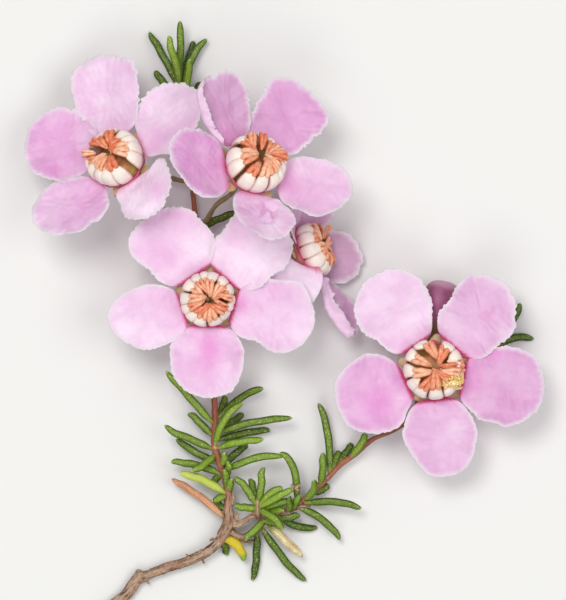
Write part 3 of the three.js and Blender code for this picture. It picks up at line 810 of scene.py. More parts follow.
@dataclass(frozen=True)
class StamenFinish:
    """An ivory filament, flushed at its foot, that ends in a salmon anther with pale glands; the sides of
    filaments and of anther pods get painted shade.
    """

    ivory: Colour = srgb(238, 220, 208)
    cream: Colour = srgb(250, 243, 232)
    rose: Colour = srgb(228, 150, 162)
    seam_shade: Colour = srgb(196, 138, 124)
    salmon: Colour = srgb(224, 120, 80)
    apricot: Colour = srgb(253, 212, 176)
    rust_and_crease_shade: Colour = srgb(176, 82, 52)
    gland: Colour = srgb(252, 232, 188)
    pollen: Colour = srgb(238, 196, 104)
    pale_pollen: Colour = srgb(252, 234, 184)

    def material(self) -> Material:
        """Builds the stamen's material.

        Returns:
            The material.
        """
        b = Skin("stamen_skin")
        along, part, edge = b.value("along"), b.value("part"), b.value("edge")
        here = b.place()
        cloud = b.noise(here, 1.6, 3.0, 0.6)
        fine = b.noise(here, 10.0, 3.0, 0.6)
        blotch = b.noise(here, 3.2, 3.0, 0.6)
        filament = b.mix((cloud * 1.4 - 0.2).bounded(), self.ivory, self.cream)
        filament = b.mix(along.below(0.0, 0.4) * 0.8, filament, self.rose)
        # painted shade: the filament's sides, where it presses on the next filament, darken to a rosy brown
        filament = b.mix((edge + (fine - 0.5) * 0.3).between(0.7, 1.05) * 0.65, filament, self.seam_shade)
        filament = b.mix((along + (fine - 0.5) * 0.2).between(0.8, 0.95) * 0.8, filament, self.apricot)
        # painted shade: the sides of each pod, in the creases where pods meet, are darker and more
        # rust-coloured, on top of the rust blotches
        pale = blotch * 1.6 + fine * 0.8 - 1.15 + b.value("tone") * 0.75 - edge * 0.2
        rust_and_crease_shade = (edge.between(0.72, 1.0) * 0.5 + blotch.between(0.6, 0.8) * 0.3).bounded()
        looks = {
            StamenPart.ANTHER: b.mix(rust_and_crease_shade, b.mix(pale.bounded(), self.salmon, self.apricot), self.rust_and_crease_shade),
            StamenPart.GLAND: self.gland,
            StamenPart.POLLEN: b.mix(along.between(0.2, 0.9), self.pollen, self.pale_pollen),
        }
        colour = filament
        for each, look in looks.items():
            colour = b.mix(part.reached(each.value), colour, look)
        return b.finish(
            Base_Color=colour,
            Roughness=0.4,
            Normal=b.relief(fine + cloud * 0.5, 0.35, 0.03),
            Subsurface_Weight=0.12,
            Subsurface_Radius=(0.8, 0.5, 0.35),
            Subsurface_Scale=0.2 * MM,
            Specular_IOR_Level=0.45,
        )


class CupPart(Enum):
    """The parts of a flower cup, each as its number, its shaded colour and its bright colour."""

    OUTSIDE = (0.0, srgb(120, 110, 52), srgb(196, 170, 116))
    STALK = (1.0, srgb(96, 76, 46), srgb(160, 134, 88))
    DISC = (2.0, srgb(160, 142, 54), srgb(226, 186, 110))
    RIM = (3.0, srgb(164, 34, 80), srgb(206, 92, 128))
    STYLE = (4.0, srgb(190, 124, 70), srgb(232, 184, 124))
    SEPAL = (5.0, srgb(172, 160, 88), srgb(226, 180, 156))

    @property
    def number(self) -> float:
        """The number that the mesh carries for this part."""
        return self.value[0]


@dataclass(frozen=True)
class CupFinish:
    """A flower cup, with each of its parts in its own two colours and a brown heart in the disc."""

    heart: Colour = srgb(190, 116, 60)
    bright_heart: Colour = srgb(240, 178, 122)
    flush: Colour = srgb(196, 96, 116)

    def material(self) -> Material:
        """Builds the cup's material.

        Returns:
            The material.
        """
        b = Skin("cup_skin")
        part, height, here = b.value("part"), b.value("height"), b.place()
        cloud = b.noise(here, 1.3, 4.0, 0.65)
        fine = b.noise(here, 8.0, 3.0, 0.65)
        tone = (cloud * 1.3 + fine * 0.4 - 0.35).bounded()
        looks = {each: b.mix(tone, *each.value[1:]) for each in CupPart}
        heart = b.mix(tone, self.heart, self.bright_heart)
        looks[CupPart.DISC] = b.mix(height.between(0.4, 0.7), heart, looks[CupPart.DISC])
        colour = b.mix(height.between(0.55, 1.0) * 0.8, looks.pop(CupPart.OUTSIDE), self.flush)
        for each, look in looks.items():
            colour = b.mix(part.reached(each.number), colour, look)
        return b.finish(
            Base_Color=colour,
            Roughness=0.5,
            Normal=b.relief(cloud + fine * 0.6, 0.5, 0.05),
            Coat_Weight=0.1,
            Coat_Roughness=0.3,
        )


@dataclass(frozen=True)
class BudFinish:
    """The bud: mauve petals over a green-brown cup and stalk."""

    mauve: Colour = srgb(124, 58, 94)
    pink: Colour = srgb(190, 112, 156)
    rim: Colour = srgb(196, 148, 172)
    cup: tuple[Colour, Colour] = (srgb(110, 92, 50), srgb(168, 128, 96))
    stalk: tuple[Colour, Colour] = (srgb(98, 78, 46), srgb(150, 122, 76))

    def material(self) -> Material:
        """Builds the bud's material.

        Returns:
            The material.
        """
        b = Skin("bud_skin")
        height, here = b.value("height"), b.place()
        cloud = b.noise(here, 1.3, 4.0, 0.6)
        fine = b.noise(here, 9.0, 3.0, 0.6)
        depth = cloud * 0.9 + fine * 0.2 - height.between(0.45, 0.8) * 0.4 + 0.1
        petals = b.mix(depth.bounded(), self.mauve, self.pink)
        petals = b.mix((height + (cloud - 0.5) * 0.06).between(0.85, 0.97) * 0.8, petals, self.rim)
        colour = b.mix((height + (cloud - 0.5) * 0.1).between(0.2, 0.3), b.mix(cloud, *self.cup), petals)
        colour = b.mix(b.value("part").reached(1.0), colour, b.mix(cloud, *self.stalk))
        return b.finish(Base_Color=colour, Roughness=0.5, Normal=b.relief(cloud + fine, 0.4, 0.04))


@dataclass(frozen=True)
class FloorFinish:
    """A plain pale floor."""

    colour: Colour = srgb(232, 232, 230)

    def material(self) -> Material:
        """Builds the floor's material."""
        return Skin("pale_floor").finish(Base_Color=self.colour, Roughness=0.85, Specular_IOR_Level=0.2)


# Growths


def dots_growth() -> Growth:
    """Builds the tree that scatters small domes over a surface: oil glands or flakes of bark.

    Returns:
        The tree. The domes carry 1 as dot, and the surface carries 0.
    """
    sizes = ("Spacing", "Density", "Smallest", "Largest", "Flatness")
    g = Growth("scattered_dots", **{size: "Float" for size in sizes})
    mesh = g.given("Mesh")
    spacing = {"Distance Min": g.given("Spacing"), "Density Max": g.given("Density")}
    inputs = {"Mesh": mesh, **spacing, "Seed": g.given("Seed")}
    spread = g.node("GeometryNodeDistributePointsOnFaces", inputs, distribute_method="POISSON")
    dome = g.wire("GeometryNodeMeshIcoSphere", {"Radius": 1.0, "Subdivisions": 1})
    dome = g.stored(g.wire("GeometryNodeSetShadeSmooth", {0: dome}), "dot", 1.0)
    long, wide = (g.chance(g.given("Smallest"), g.given("Largest"), shift) for shift in (1, 2))
    inputs = {
        "Points": g.out(spread, "Points"),
        "Instance": dome,
        "Rotation": g.out(spread, "Rotation"),
        "Scale": g.vector(long, wide, wide * g.given("Flatness")),
    }
    domes = g.wire("GeometryNodeInstanceOnPoints", inputs)
    return g.ends(g.wire("GeometryNodeJoinGeometry", {0: [domes, mesh]}))


def crown_growth() -> Growth:
    """Builds the tree that stands a stamen on each point of a mesh.

    A point carries its stamen's turn round the axis, how wide it is, how far its tip has spilled
    outwards and shifted aside, and 1 as bare where its anther is lost. A stamen carries tip and swing,
    which say how far each place follows its sway, and part, by which a lost anther is found.

    Returns:
        The tree. Sway is how far, in metres, each stamen's tip strays from its place, and lean how
        far, in radians, it leans. Each stamen carries a random tone.
    """
    g = Growth("crown_of_stamens", Stamen="Object", Lean="Float", Sway="Float")
    model = g.out(g.node("GeometryNodeObjectInfo", {"Object": g.given("Stamen")}), "Geometry")
    sway, lean, points = g.given("Sway"), g.given("Lean"), g.given("Mesh")
    for shift, name in enumerate(("sway_out", "sway_side", "sway_up", "sway_round"), start=4):
        points = g.stored(points, name, g.chance(-sway, sway, shift))
    points = g.stored(points, "tone", g.chance(0.0, 1.0, 10))
    turn = g.carried("turn")
    inputs = {
        "Points": points,
        "Instance": model,
        "Rotation": g.vector(g.chance(-lean, lean, 1), g.chance(-lean, lean, 2), turn),
        "Scale": g.vector(1.0, g.carried("wide") * g.chance(0.86, 1.06, 9), 1.0 + g.chance(-0.07, 0.05, 3)),
    }
    plain = g.wire("GeometryNodeRealizeInstances", {"Geometry": g.wire("GeometryNodeInstanceOnPoints", inputs)})
    inputs = {"Geometry": plain, "Selection": g.carried("bare") * g.carried("part")}
    plain = g.wire("GeometryNodeDeleteGeometry", inputs, domain="POINT")
    spill, tip = g.carried("spill"), g.carried("tip")
    east, north = g.maths("COSINE", turn, 0.0), g.maths("SINE", turn, 0.0)
    out = (g.carried("sway_out") * 0.7 + spill) * tip
    side = (g.carried("sway_side") * 0.5 + g.carried("shift")) * tip
    side = side + g.carried("sway_round") * g.carried("swing")
    rise = (g.carried("sway_up") * 0.8 - spill * 0.35) * tip
    offset = g.vector(out * east - side * north, out * north + side * east, rise)
    return g.ends(g.wire("GeometryNodeSetPosition", {"Geometry": plain, "Offset": offset}))


class Kit:
    """The finishes and growths that the sprig's pieces share."""

    def __init__(self) -> None:
        """Builds every finish and growth."""
        self.petal = PetalFinish().material()
        self.leaves = {kind: LeafFinish(kind).material() for kind in LeafKind}
        self.bark = {"bark": BarkFinish("old_bark").material(), "twig": BarkFinish("young_bark").material()}
        self.stamen = StamenFinish().material()
        self.cup = CupFinish().material()
        self.bud = BudFinish().material()
        self.dots, self.crown = dots_growth(), crown_growth()


def dressed(piece: Thing, slot: str, *nodes: str) -> None:
    """Lets a finished piece ride on the sprig's body and stand for CAD nodes, and logs its material slot.

    Args:
        piece: The finished piece.
        slot: The material slot, which is only logged.
        *nodes: The CAD nodes that it stands for.
    """
    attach(piece, ROOT)
    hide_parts(*nodes)
    log.info("%s: %d faces, slot %s, for %s", piece.name, len(piece.data.polygons), slot, ", ".join(nodes))


# Wood


@dataclass(frozen=True)
class Knot:
    """A swelling of a twig, at a share of its length."""

    s: float
    rise: float
    spread: float


@dataclass(frozen=True)
class Scar:
    """A scar or a broken spur on a twig: where it is seen, its radius, and how far it stands out."""

    place: Place
    radius: float
    rise: float
    pale: float = 1.0


@dataclass(frozen=True)
class Spur:
    """A thin offshoot of bark or fibre: a spine, a scale or a strand, and how pale it is."""

    points: tuple[Place, ...]
    foot: float
    tip: float
    pale: float = 0.5
    flatness: float = 0.7
    rows: int = 18
    sides: int = 12

    def add_to(self, bark: Surface) -> None:
        """Adds the offshoot to a twig's bark.

        Args:
            bark: The surface that gathers the bark.
        """
        path = evenly(drawn(self.points, 12), self.rows)
        directions = carried(path, UP)
        east, north = circle(self.sides)
        north = self.flatness * north
        s = np.linspace(0, 1, self.rows)
        reach = (self.foot + (self.tip - self.foot) * s) * (0.35 + 0.65 * np.minimum(1, 7 * (1 - s)))
        reach = reach[:, None]
        smooth = around(path, *directions, reach * east, reach * north)
        reach = reach * (1 + 0.25 * Waver(bark.count, 3, 0.8, 3.5)(smooth))
        places = around(path, *directions, reach * east, reach * north)
        share, side = by_ring(s, self.sides), by_side(east, self.rows)
        # upper: an even half of the bark's painted top light all round
        bark.add(*tube(places), length=share * 2, east=side, north=share, scar=self.pale, age=1.0, upper=0.5)


@dataclass(frozen=True)
class Twig:
    """A length of wood. aged is how far, in millimetres, its bark is old, and cut is a sawn foot."""

    node: str
    slot: str
    points: tuple[Place, ...]
    foot: float
    tip: float
    knots: tuple[Knot, ...] = ()
    scars: tuple[Scar, ...] = ()
    roughness: float = 0.06
    flakes: float = 0.0
    root: tuple[Place, ...] = ()
    spurs: tuple[Spur, ...] = ()
    aged: float = 3.5
    cut: bool = False
    sides: int = 28
    step: float = 0.07

    def axis(self) -> tuple[Array, Array]:
        """The twig's axis in fine steps, and the share of the twig at each of them."""
        path = drawn(self.points, AXIS_STEPS)
        return path, np.linspace(0, 1, len(path))

    def radius(self, s: Array) -> Array:
        """The twig's radius at shares of its length."""
        swelling = sum(knot.rise * bell((s - knot.s) / knot.spread) for knot in self.knots)
        return self.foot + (self.tip - self.foot) * s + swelling

    def seat(self, start: Array, towards: Array, clearance: float) -> Array:
        """Where a piece that heads towards a place leaves the twig.

        Args:
            start: The place on the twig, as it is seen from above.
            towards: The place that the piece heads for.
            clearance: How far from the bark the piece begins.

        Returns:
            The place beside the twig.
        """
        path, share = self.axis()
        k = int(np.argmin(np.linalg.norm(path[:, :2] - start[:2], axis=1)))
        heading = towards - path[k]
        tangent = unit(np.gradient(path, axis=0))[k]
        if k < len(path) - 1:
            heading = heading - tangent * (heading @ tangent)
        return path[k] + unit(heading) * (float(self.radius(share[k])) + clearance)

    def surface(self) -> Surface:
        """Builds the bark: a tube with ridges and fissures, knots, scars and spurs.

        Returns:
            The bark, which carries length, east and north for its grain, and scar, age and upper; upper gives
            the finish a painted lighter top.
        """
        fine, share = self.axis()
        if self.root:
            fine = drawn((*self.root, *self.points), AXIS_STEPS)
            share = np.concatenate([np.zeros(len(fine) - len(share)), share])
        reach = lengths(fine)
        rows = int(reach[-1] / self.step) + 1
        length = np.linspace(0, reach[-1], rows)
        path = evenly(fine, rows)
        base = self.radius(np.interp(length, reach, share))
        across, normal = carried(path, UP)
        east, north = circle(self.sides)
        grid = np.stack(np.broadcast_arrays(length[:, None], east, north), axis=-1)
        seed = len(self.node) + len(self.points)
        ridges = Waver(seed, 3, 0.5, 3.0)(grid * (0.5, 1.3, 1.3))
        lumps = Waver(seed + 1, 3, 0.3, 1.0)(grid)
        from_foot = length + 9.0 * self.cut
        full = np.minimum(1, np.minimum(from_foot, reach[-1] - length) / (0.5 * base) + 0.3)
        if self.cut:
            path = np.vstack([path[:1], path[:1], path[1:-1]])
            full[0] = 0.82
        out = base[:, None] * (1 + self.roughness * (ridges - np.abs(ridges) * 0.5 + 0.7 * lumps))
        out *= full[:, None] ** 0.5
        places = around(path, across, normal, out * east, out * north)
        outward = unit(places - path[:, None])
        scar = np.zeros(out.shape)
        for each in self.scars:
            off = np.linalg.norm(places - at(*each.place), axis=-1) / each.radius
            places += outward * (each.rise * bell(off**2))[..., None]
            scar = np.maximum(scar, each.pale * bell((off / 0.9) ** 2))
        if self.cut:
            scar[0] = 1.0
        values = {name: grid[..., k] for k, name in enumerate(("length", "east", "north"))}
        values["scar"] = scar
        values["age"] = 1 - smoothstep(grid[..., 0], 0.5 * self.aged, 1.5 * self.aged)
        # how far the bark faces up, which the finish turns into a painted lighter top
        values["upper"] = outward[..., 2]
        caps = {"scar": [float(self.cut), 0.0], "age": [1.0, 0.0]}
        bark = Surface()
        bark.add(*tube(places), **{k: np.append(v, caps.get(k, [0.0, 0.0])) for k, v in values.items()})
        for spur in self.spurs:
            spur.add_to(bark)
        return bark

    def build(self, kit: Kit) -> None:
        """Builds and dresses the twig's bark, with its flakes.

        Args:
            kit: The finishes and growths.
        """
        finish = kit.bark[self.slot]
        sizes = {"Spacing": 0.16 * MM, "Smallest": 0.04 * MM, "Largest": 0.11 * MM, "Flatness": 0.35}
        piece = self.surface().piece(f"{self.node}_bark", finish)
        kit.dots.grow(piece, **sizes, Density=self.flakes, Seed=len(self.node), Finish=finish)
        dressed(piece, self.slot, self.node)


TWIGS: dict[str, Twig] = {
    "stem": Twig(
        "woody_stem", "bark",
        (
            (92, 622, 0.5), (122, 599, 0.5), (138, 580, 0.55), (146, 577, 0.58), (166, 569, 0.64),
            (191, 561, 0.75), (210, 551, 0.95), (221, 540, 1.1), (227, 529, 1.25),
        ),
        foot=0.34, tip=0.37,
        knots=(Knot(0.31, 0.13, 0.06), Knot(0.0, 0.08, 0.2), Knot(0.95, 0.06, 0.06)),
        scars=(
            Scar((137, 573, 0.85), 0.26, 0.14, 0.4), Scar((147, 584, 0.8), 0.24, 0.12, 0.3),
            Scar((187, 557, 1.0), 0.18, 0.1, 0.6), Scar((200, 552, 1.1), 0.18, 0.1, 0.8),
            Scar((166, 566, 0.9), 0.16, 0.1, 0.4),
        ),
        roughness=0.13, flakes=1.2e7,
        spurs=(
            Spur(((216, 544, 1.2), (212, 540, 1.35), (209.5, 543, 1.2)), 0.13, 0.03, 0.3),
            Spur(((188, 560, 1.05), (186, 555, 1.3)), 0.15, 0.06, 0.6),
            Spur(((202, 555, 1.15), (199.5, 550, 1.4)), 0.15, 0.05, 0.7),
            Spur(((201, 559, 0.9), (204, 565, 0.9)), 0.15, 0.06, 0.4),
            Spur(((141, 577, 0.7), (135.5, 571.5, 0.85)), 0.26, 0.08, 0.45),
            Spur(((144, 579, 0.6), (148.5, 586, 0.65)), 0.24, 0.06, 0.3),
        ),
        aged=90.0, cut=True,
    ),
    "upright": Twig(
        "upright_twig", "twig",
        (
            (228.5, 520.5, 1.35), (228, 508, 1.4), (228, 493, 1.5), (225, 478, 1.6), (219, 462, 1.7),
            (214, 446, 1.75), (215, 422, 1.8), (214, 398, 1.75), (210, 360, 1.5), (205, 310, 1.15),
            (199, 250, 1.1), (194, 205, 1.1), (189, 165, 1.05), (184, 125, 1.0), (179, 80, 1.0),
        ),
        foot=0.3, tip=0.15, knots=(Knot(0.0, 0.1, 0.13),),
        scars=(
            Scar((222, 509, 1.7), 0.2, 0.12, 0.5), Scar((231, 498, 1.85), 0.2, 0.1, 0.5),
            Scar((224, 490, 1.9), 0.16, 0.1, 0.6), Scar((215, 448, 2.0), 0.22, 0.1, 0.8),
        ),
        roughness=0.09, flakes=0.2e7, root=((221, 540, 1.1), (226, 530, 1.25)),
        spurs=(
            Spur(((232, 524, 1.45), (236, 519, 1.75), (239.5, 514, 2.0)), 0.26, 0.05, 1.0),
            Spur(((230, 505, 1.5), (233, 498, 1.75), (232, 493, 1.95)), 0.16, 0.06, 0.8),
            Spur(((216, 452, 1.8), (213, 446, 2.1)), 0.16, 0.05, 0.7),
            Spur(((223, 530, 1.4), (227, 522, 1.72), (227, 512, 1.75)), 0.12, 0.06, 0.7),
        ),
        aged=3.0,
    ),
    "side": Twig(
        "side_twig", "twig",
        (
            (229, 532, 1.15), (239, 538, 1.0), (249, 536, 1.0), (258, 528, 1.05), (267, 519, 1.15),
            (280, 515, 1.2), (297, 507, 1.1), (311, 494, 1.1), (329, 478, 1.1), (340, 466, 1.0),
            (356, 455, 0.95), (372, 441, 0.85), (396, 430, 0.75), (440, 402, 0.6), (475, 372, 0.55),
            (499, 344, 0.6),
        ),
        foot=0.29, tip=0.13, knots=(Knot(0.3, 0.03, 0.05),),
        scars=(
            Scar((295, 503, 1.4), 0.22, 0.1, 0.7), Scar((355, 453, 1.2), 0.2, 0.08, 0.9),
            Scar((327, 478, 1.35), 0.2, 0.06, 0.7), Scar((312, 491, 1.4), 0.2, 0.06, 0.8),
        ),
        roughness=0.1, flakes=0.2e7, root=((222, 538, 1.1),),
        spurs=(
            Spur(
                ((228, 527, 1.3), (238, 525, 1.5), (247, 520, 1.45), (257, 516, 1.35), (268, 516, 1.2)), 0.22,
                0.16, 0.7,
            ),
            Spur(((230, 530, 1.2), (240, 522, 1.62), (252, 519, 1.5)), 0.1, 0.07, 1.0),
            Spur(((233, 530, 1.2), (242, 525, 1.55), (250, 522, 1.4)), 0.08, 0.04, 0.4),
            Spur(((240, 541, 1.0), (247, 543, 0.9), (254, 541, 0.8)), 0.16, 0.08, 0.3),
            Spur(((297, 507, 1.2), (304, 506, 1.3), (311, 507, 1.2)), 0.24, 0.15, 0.3),
            Spur(((291, 492, 1.95), (296, 488, 2.25), (301, 485, 2.1)), 0.16, 0.08, 1.0),
            Spur(((291, 486, 2.1), (297, 490, 2.2), (300, 491, 2.1)), 0.12, 0.08, 0.7),
            Spur(((281, 516, 1.35), (288, 514, 1.5), (295, 516, 1.3)), 0.15, 0.06, 0.6),
        ),
        aged=3.2,
    ),
    "spur": Twig(
        "spur_twig", "twig", ((258, 512, 1.75), (257.5, 505, 1.9), (258, 498, 2.0)), foot=0.24, tip=0.17,
        scars=(Scar((258, 506, 2.1), 0.9, 0.0, 1.2),), roughness=0.1, flakes=0.2e7, root=((258, 519, 1.3),),
        spurs=(
            Spur(((255, 515, 1.7), (253, 510, 1.9), (250, 507, 1.9)), 0.16, 0.06, 0.4),
            Spur(((260, 514, 1.8), (262, 508, 2.0), (262, 503, 2.1)), 0.14, 0.06, 0.5),
        ),
    ),
}


# Leaves


@dataclass(frozen=True)
class Leaf:
    """A narrow leaf, thick and channelled, from its foot on a twig to its tip.

    A leaf without a node of its own belongs to its twig's small leaves.
    """

    node: str
    tip: Place
    bend: Place
    foot: Place
    kind: LeafKind = LeafKind.GREEN
    width: float = 0.56
    thickness: float = 0.42
    rows: int = 26
    sides: int = 16
    lowest: float = 0.04

    def add_to(self, surface: Surface, twig: Twig, seed: int) -> None:
        """Adds the leaf's blade to a surface.

        Args:
            surface: The surface that gathers the blade.
            twig: The twig that bears the leaf.
            seed: Where its unevenness starts.
        """
        bend, tip = at(*self.bend), at(*self.tip)
        foot = twig.seat(at(*self.foot), bend, -0.06)
        s = np.linspace(0, 1, self.rows) ** 0.92
        path = bezier([foot, bend, tip], s)
        wave = Waver(seed, 1, 0.5, 1.6)
        across, normal = carried(path, UP)
        path = path + across * (wave(s[:, None] * 2) * 0.04 * s)[:, None]
        full = (0.5 + 0.5 * smoothstep(s, 0, 0.2)) * (1 - s**8) ** 0.6
        full *= 1 + 0.018 * wave(s[:, None] * 3 + 5)
        full[-1] = 0.03
        east, north = circle(self.sides)
        channel = 0.16 * bell(east / 0.5) * (north > 0)
        keel = 0.15 * bell(east / 0.4) * (north < 0)
        opened = (smoothstep(s, 0.05, 0.3) * (1 - smoothstep(s, 0.8, 1)))[:, None]
        high = north * (1 + (keel - channel) * opened)
        wide = 0.5 * self.width * full[:, None]
        thick = 0.5 * self.thickness * full[:, None] ** 0.8
        places = around(path, across, normal, wide * east, thick * high)
        places[..., 2] = np.maximum(places[..., 2], self.lowest)
        # painted light by height: higher leaves lighter and low ones darker, with a random tone for each leaf;
        # upper, how far the blade faces up, also becomes painted light
        fresh = 0.75 if self.kind.dry else 0.08 + 0.19 * float(tip[2]) + 0.1 * math.sin(seed * 2.3)
        upper, side = by_side(north, self.rows), by_side(east, self.rows)
        surface.add(*tube(places), along=by_ring(s, self.sides), upper=upper, across=side, fresh=fresh)


@dataclass(frozen=True)
class Foliage:
    """The leaves of one twig."""

    twig: Twig
    leaves: tuple[Leaf, ...]
    glands: float = 2.6e7
    small_seed: int = 90

    def dress(self, surface: Surface, name: str, node: str, kind: LeafKind, kit: Kit, seed: int) -> None:
        """Turns blades into a dressed piece with oil glands.

        Args:
            surface: The blades.
            name: The piece's name.
            node: The CAD node that it stands for.
            kind: The kind of leaf.
            kit: The finishes and growths.
            seed: Where the glands' scatter starts.
        """
        finish = kit.leaves[kind]
        sizes = {"Spacing": 0.1 * MM, "Smallest": 0.022 * MM, "Largest": 0.04 * MM, "Flatness": 0.48}
        piece = surface.piece(name, finish)
        kit.dots.grow(piece, **sizes, Density=self.glands, Seed=seed, Finish=finish)
        dressed(piece, kind.slot, node)

    def build(self, kit: Kit) -> None:
        """Builds and dresses every leaf: the named ones one by one, and the small ones together.

        Args:
            kit: The finishes and growths.
        """
        small = Surface()
        for seed, leaf in enumerate(self.leaves):
            surface = Surface() if leaf.node else small
            leaf.add_to(surface, self.twig, seed)
            if leaf.node:
                self.dress(surface, f"{leaf.node}_blade", leaf.node, leaf.kind, kit, seed)
        if small.count:
            name = f"{self.twig.node}_small_leaves"
            self.dress(small, name, self.twig.node, LeafKind.GREEN, kit, self.small_seed)


LEAVES: dict[str, tuple[Leaf, ...]] = {
    "upright": (
        Leaf("leaf_left_1", (165, 371, 2.4), (188, 397, 2.8), (214, 424, 1.8)),
        Leaf("", (188, 413, 1.2), (198, 421, 1.5), (214, 436, 1.8)),
        Leaf("leaf_left_2", (163, 427, 2.3), (186, 438, 2.5), (214, 449, 1.8)),
        Leaf("", (175, 440, 0.9), (190, 451, 1.2), (217, 464, 1.7)),
        Leaf("", (170, 463, 1.8), (190, 461, 1.6), (221, 475, 1.6)),
        Leaf("", (192, 472, 3.0), (203, 467, 3.0), (216, 455, 1.8)),
        Leaf("", (224, 396, 0.9), (225, 405, 1.2), (215, 420, 1.8)),
        Leaf("leaf_front", (243, 402, 3.0), (219, 418, 3.6), (214, 446, 1.8)),
        Leaf("", (264, 388, 1.5), (243, 392, 1.3), (215, 419, 1.8)),
        Leaf("", (244, 415, 0.5), (236, 420, 0.7), (215, 432, 1.75)),
        Leaf("leaf_right_1", (293, 419, 1.8), (258, 418, 2.2), (215, 434, 1.8)),
        Leaf("", (271, 431, 0.6), (250, 431, 0.9), (214, 441, 1.75)),
        Leaf("leaf_right_2", (264, 441, 2.6), (242, 439, 2.8), (214, 450, 1.8)),
        Leaf("", (248, 445, 0.9), (238, 451, 1.1), (221, 467, 1.7)),
        Leaf("", (224, 453, 3.2), (226, 458, 2.8), (220, 466, 1.7)),
        Leaf("leaf_right_3", (284, 457, 2.2), (255, 454, 2.6), (223, 472, 1.7)),
        Leaf("", (231, 479, 3.1), (231, 486, 2.8), (227, 490, 1.5)),
        Leaf("", (213, 503, 0.5), (218, 505, 0.8), (228, 511, 1.4)),
        Leaf("leaf_yellow_green", (179, 474, 2.6), (200, 476, 2.6), (227, 494, 1.5), LeafKind.LIME, 0.62),
        Leaf("leaf_dried_brown", (171, 480, 1.0), (194, 491, 1.1), (228, 518, 1.4), LeafKind.BROWN, 0.56),
        Leaf("", (215, 503, 1.9), (216, 499, 1.9), (226, 497, 1.5)),
        Leaf("", (225, 470, 2.9), (226, 478, 2.6), (225, 488, 1.5)),
        Leaf("", (229, 462, 2.6), (228, 470, 2.4), (222, 478, 1.6)),
        Leaf("", (213, 486, 1.0), (214, 480, 1.2), (222, 474, 1.6)),
        Leaf("", (237, 212, 1.5), (220, 216, 1.3), (200, 229, 1.1)),
        Leaf("leaf_tip_left", (148, 30, 0.25), (161, 50, 1.2), (179, 86, 1.0)),
        Leaf("leaf_tip_long", (180, 19, 1.5), (180, 45, 1.9), (179, 80, 1.0)),
        Leaf("leaf_tip_front", (167, 35, 3.4), (175, 55, 3.4), (179, 84, 1.0)),
        Leaf("leaf_tip_right", (207, 37, 0.7), (188, 52, 0.95), (180, 90, 1.0)),
        Leaf("", (194, 39, 0.1), (187, 56, 0.25), (179, 88, 1.0)),
        Leaf("", (190, 58, 2.6), (189, 72, 2.4), (181, 102, 1.0)),
        Leaf("", (154, 69, 0.22), (160, 80, 0.6), (181, 101, 1.0)),
        Leaf("", (201, 80, 0.3), (196, 91, 0.7), (182, 108, 1.0)),
    ),
    "spur": (
        Leaf("", (234, 478, 2.3), (246, 485, 2.6), (258, 505, 1.9)),
        Leaf("", (251, 479, 1.3), (252, 490, 1.6), (258, 503, 1.9)),
        Leaf("", (262, 467, 2.8), (263, 483, 3.0), (258, 500, 1.9)),
        Leaf("", (283, 488, 2.6), (272, 490, 2.8), (258, 506, 1.9)),
        Leaf("", (234, 507, 2.2), (245, 508, 2.4), (258, 509, 1.8)),
        Leaf("", (284, 531, 2.7), (273, 514, 3.3), (259, 511, 1.8), width=0.6),
        Leaf("", (293, 489, 2.7), (279, 496, 3.1), (260, 508, 1.9)),
        Leaf("", (291, 500, 2.0), (277, 506, 2.3), (259, 509, 1.8)),
    ),
    "side": (
        Leaf("", (284, 511, 2.6), (274, 509, 2.4), (263, 515, 1.25)),
        Leaf("", (244, 541, 1.75), (254, 532, 1.9), (262, 518, 1.25)),
        Leaf("", (288, 497, 2.4), (293, 506, 2.3), (288, 514, 1.2)),
        Leaf("", (299, 496, 1.9), (297, 503, 1.9), (292, 511, 1.2)),
        Leaf("", (276, 524, 1.7), (270, 523, 1.8), (263, 519, 1.25)),
        Leaf("leaf_hooked", (279, 454, 2.4), (299, 457, 2.6), (298, 507, 1.1)),
        Leaf("leaf_side_tall", (318, 403, 0.9), (332, 430, 1.0), (331, 476, 1.1)),
        Leaf("", (322, 453, 2.2), (325.5, 468, 2.3), (321, 486, 1.1)),
        Leaf("", (313, 480, 3.2), (319, 490, 2.8), (305, 500, 1.1)),
        Leaf("", (367, 434, 1.9), (364, 443, 1.7), (352, 458, 0.95)),
        Leaf("", (353, 444, 0.5), (349, 450, 0.6), (340, 466, 1.0)),
        Leaf("", (341, 452, 0.6), (336, 458, 0.75), (333, 473, 1.1)),
        Leaf("", (329, 485, 0.5), (325, 491, 0.55), (312, 493, 1.1)),
        Leaf("leaf_low_1", (362, 510, 1.6), (342, 499, 2.0), (302, 503, 1.1)),
        Leaf("leaf_low_2", (341, 542, 0.9), (327, 518, 1.4), (298, 508, 1.1)),
        Leaf("", (318, 528, 0.22), (300, 534, 0.5), (279, 514, 1.2)),
        Leaf("", (300, 515, 1.4), (291, 520, 1.5), (280, 524, 1.2)),
        Leaf("leaf_low_long", (307, 583, 0.23), (284, 566, 0.9), (252, 520, 1.25)),
        Leaf("leaf_dried_tan", (303, 558, 1.1), (286, 543, 1.6), (262, 518, 1.25), LeafKind.TAN, 0.6),
        Leaf("leaf_low_curved", (252, 583, 0.23), (258, 560, 0.6), (245, 522, 1.25)),
        Leaf("", (536, 339, 0.06), (516, 333, 0.41), (497, 347, 0.6)),
        Leaf("", (523, 303, 0.8), (516, 320, 0.8), (496, 348, 0.6)),
    ),
    "stem": (
        Leaf("leaf_yellow", (244, 563, 0.8), (240, 541, 1.6), (221, 539, 1.1), LeafKind.YELLOW, 0.7),
        Leaf("", (225, 557, 0.25), (227, 549, 0.4), (220, 543, 1.1)),
    ),
}


# Flowers


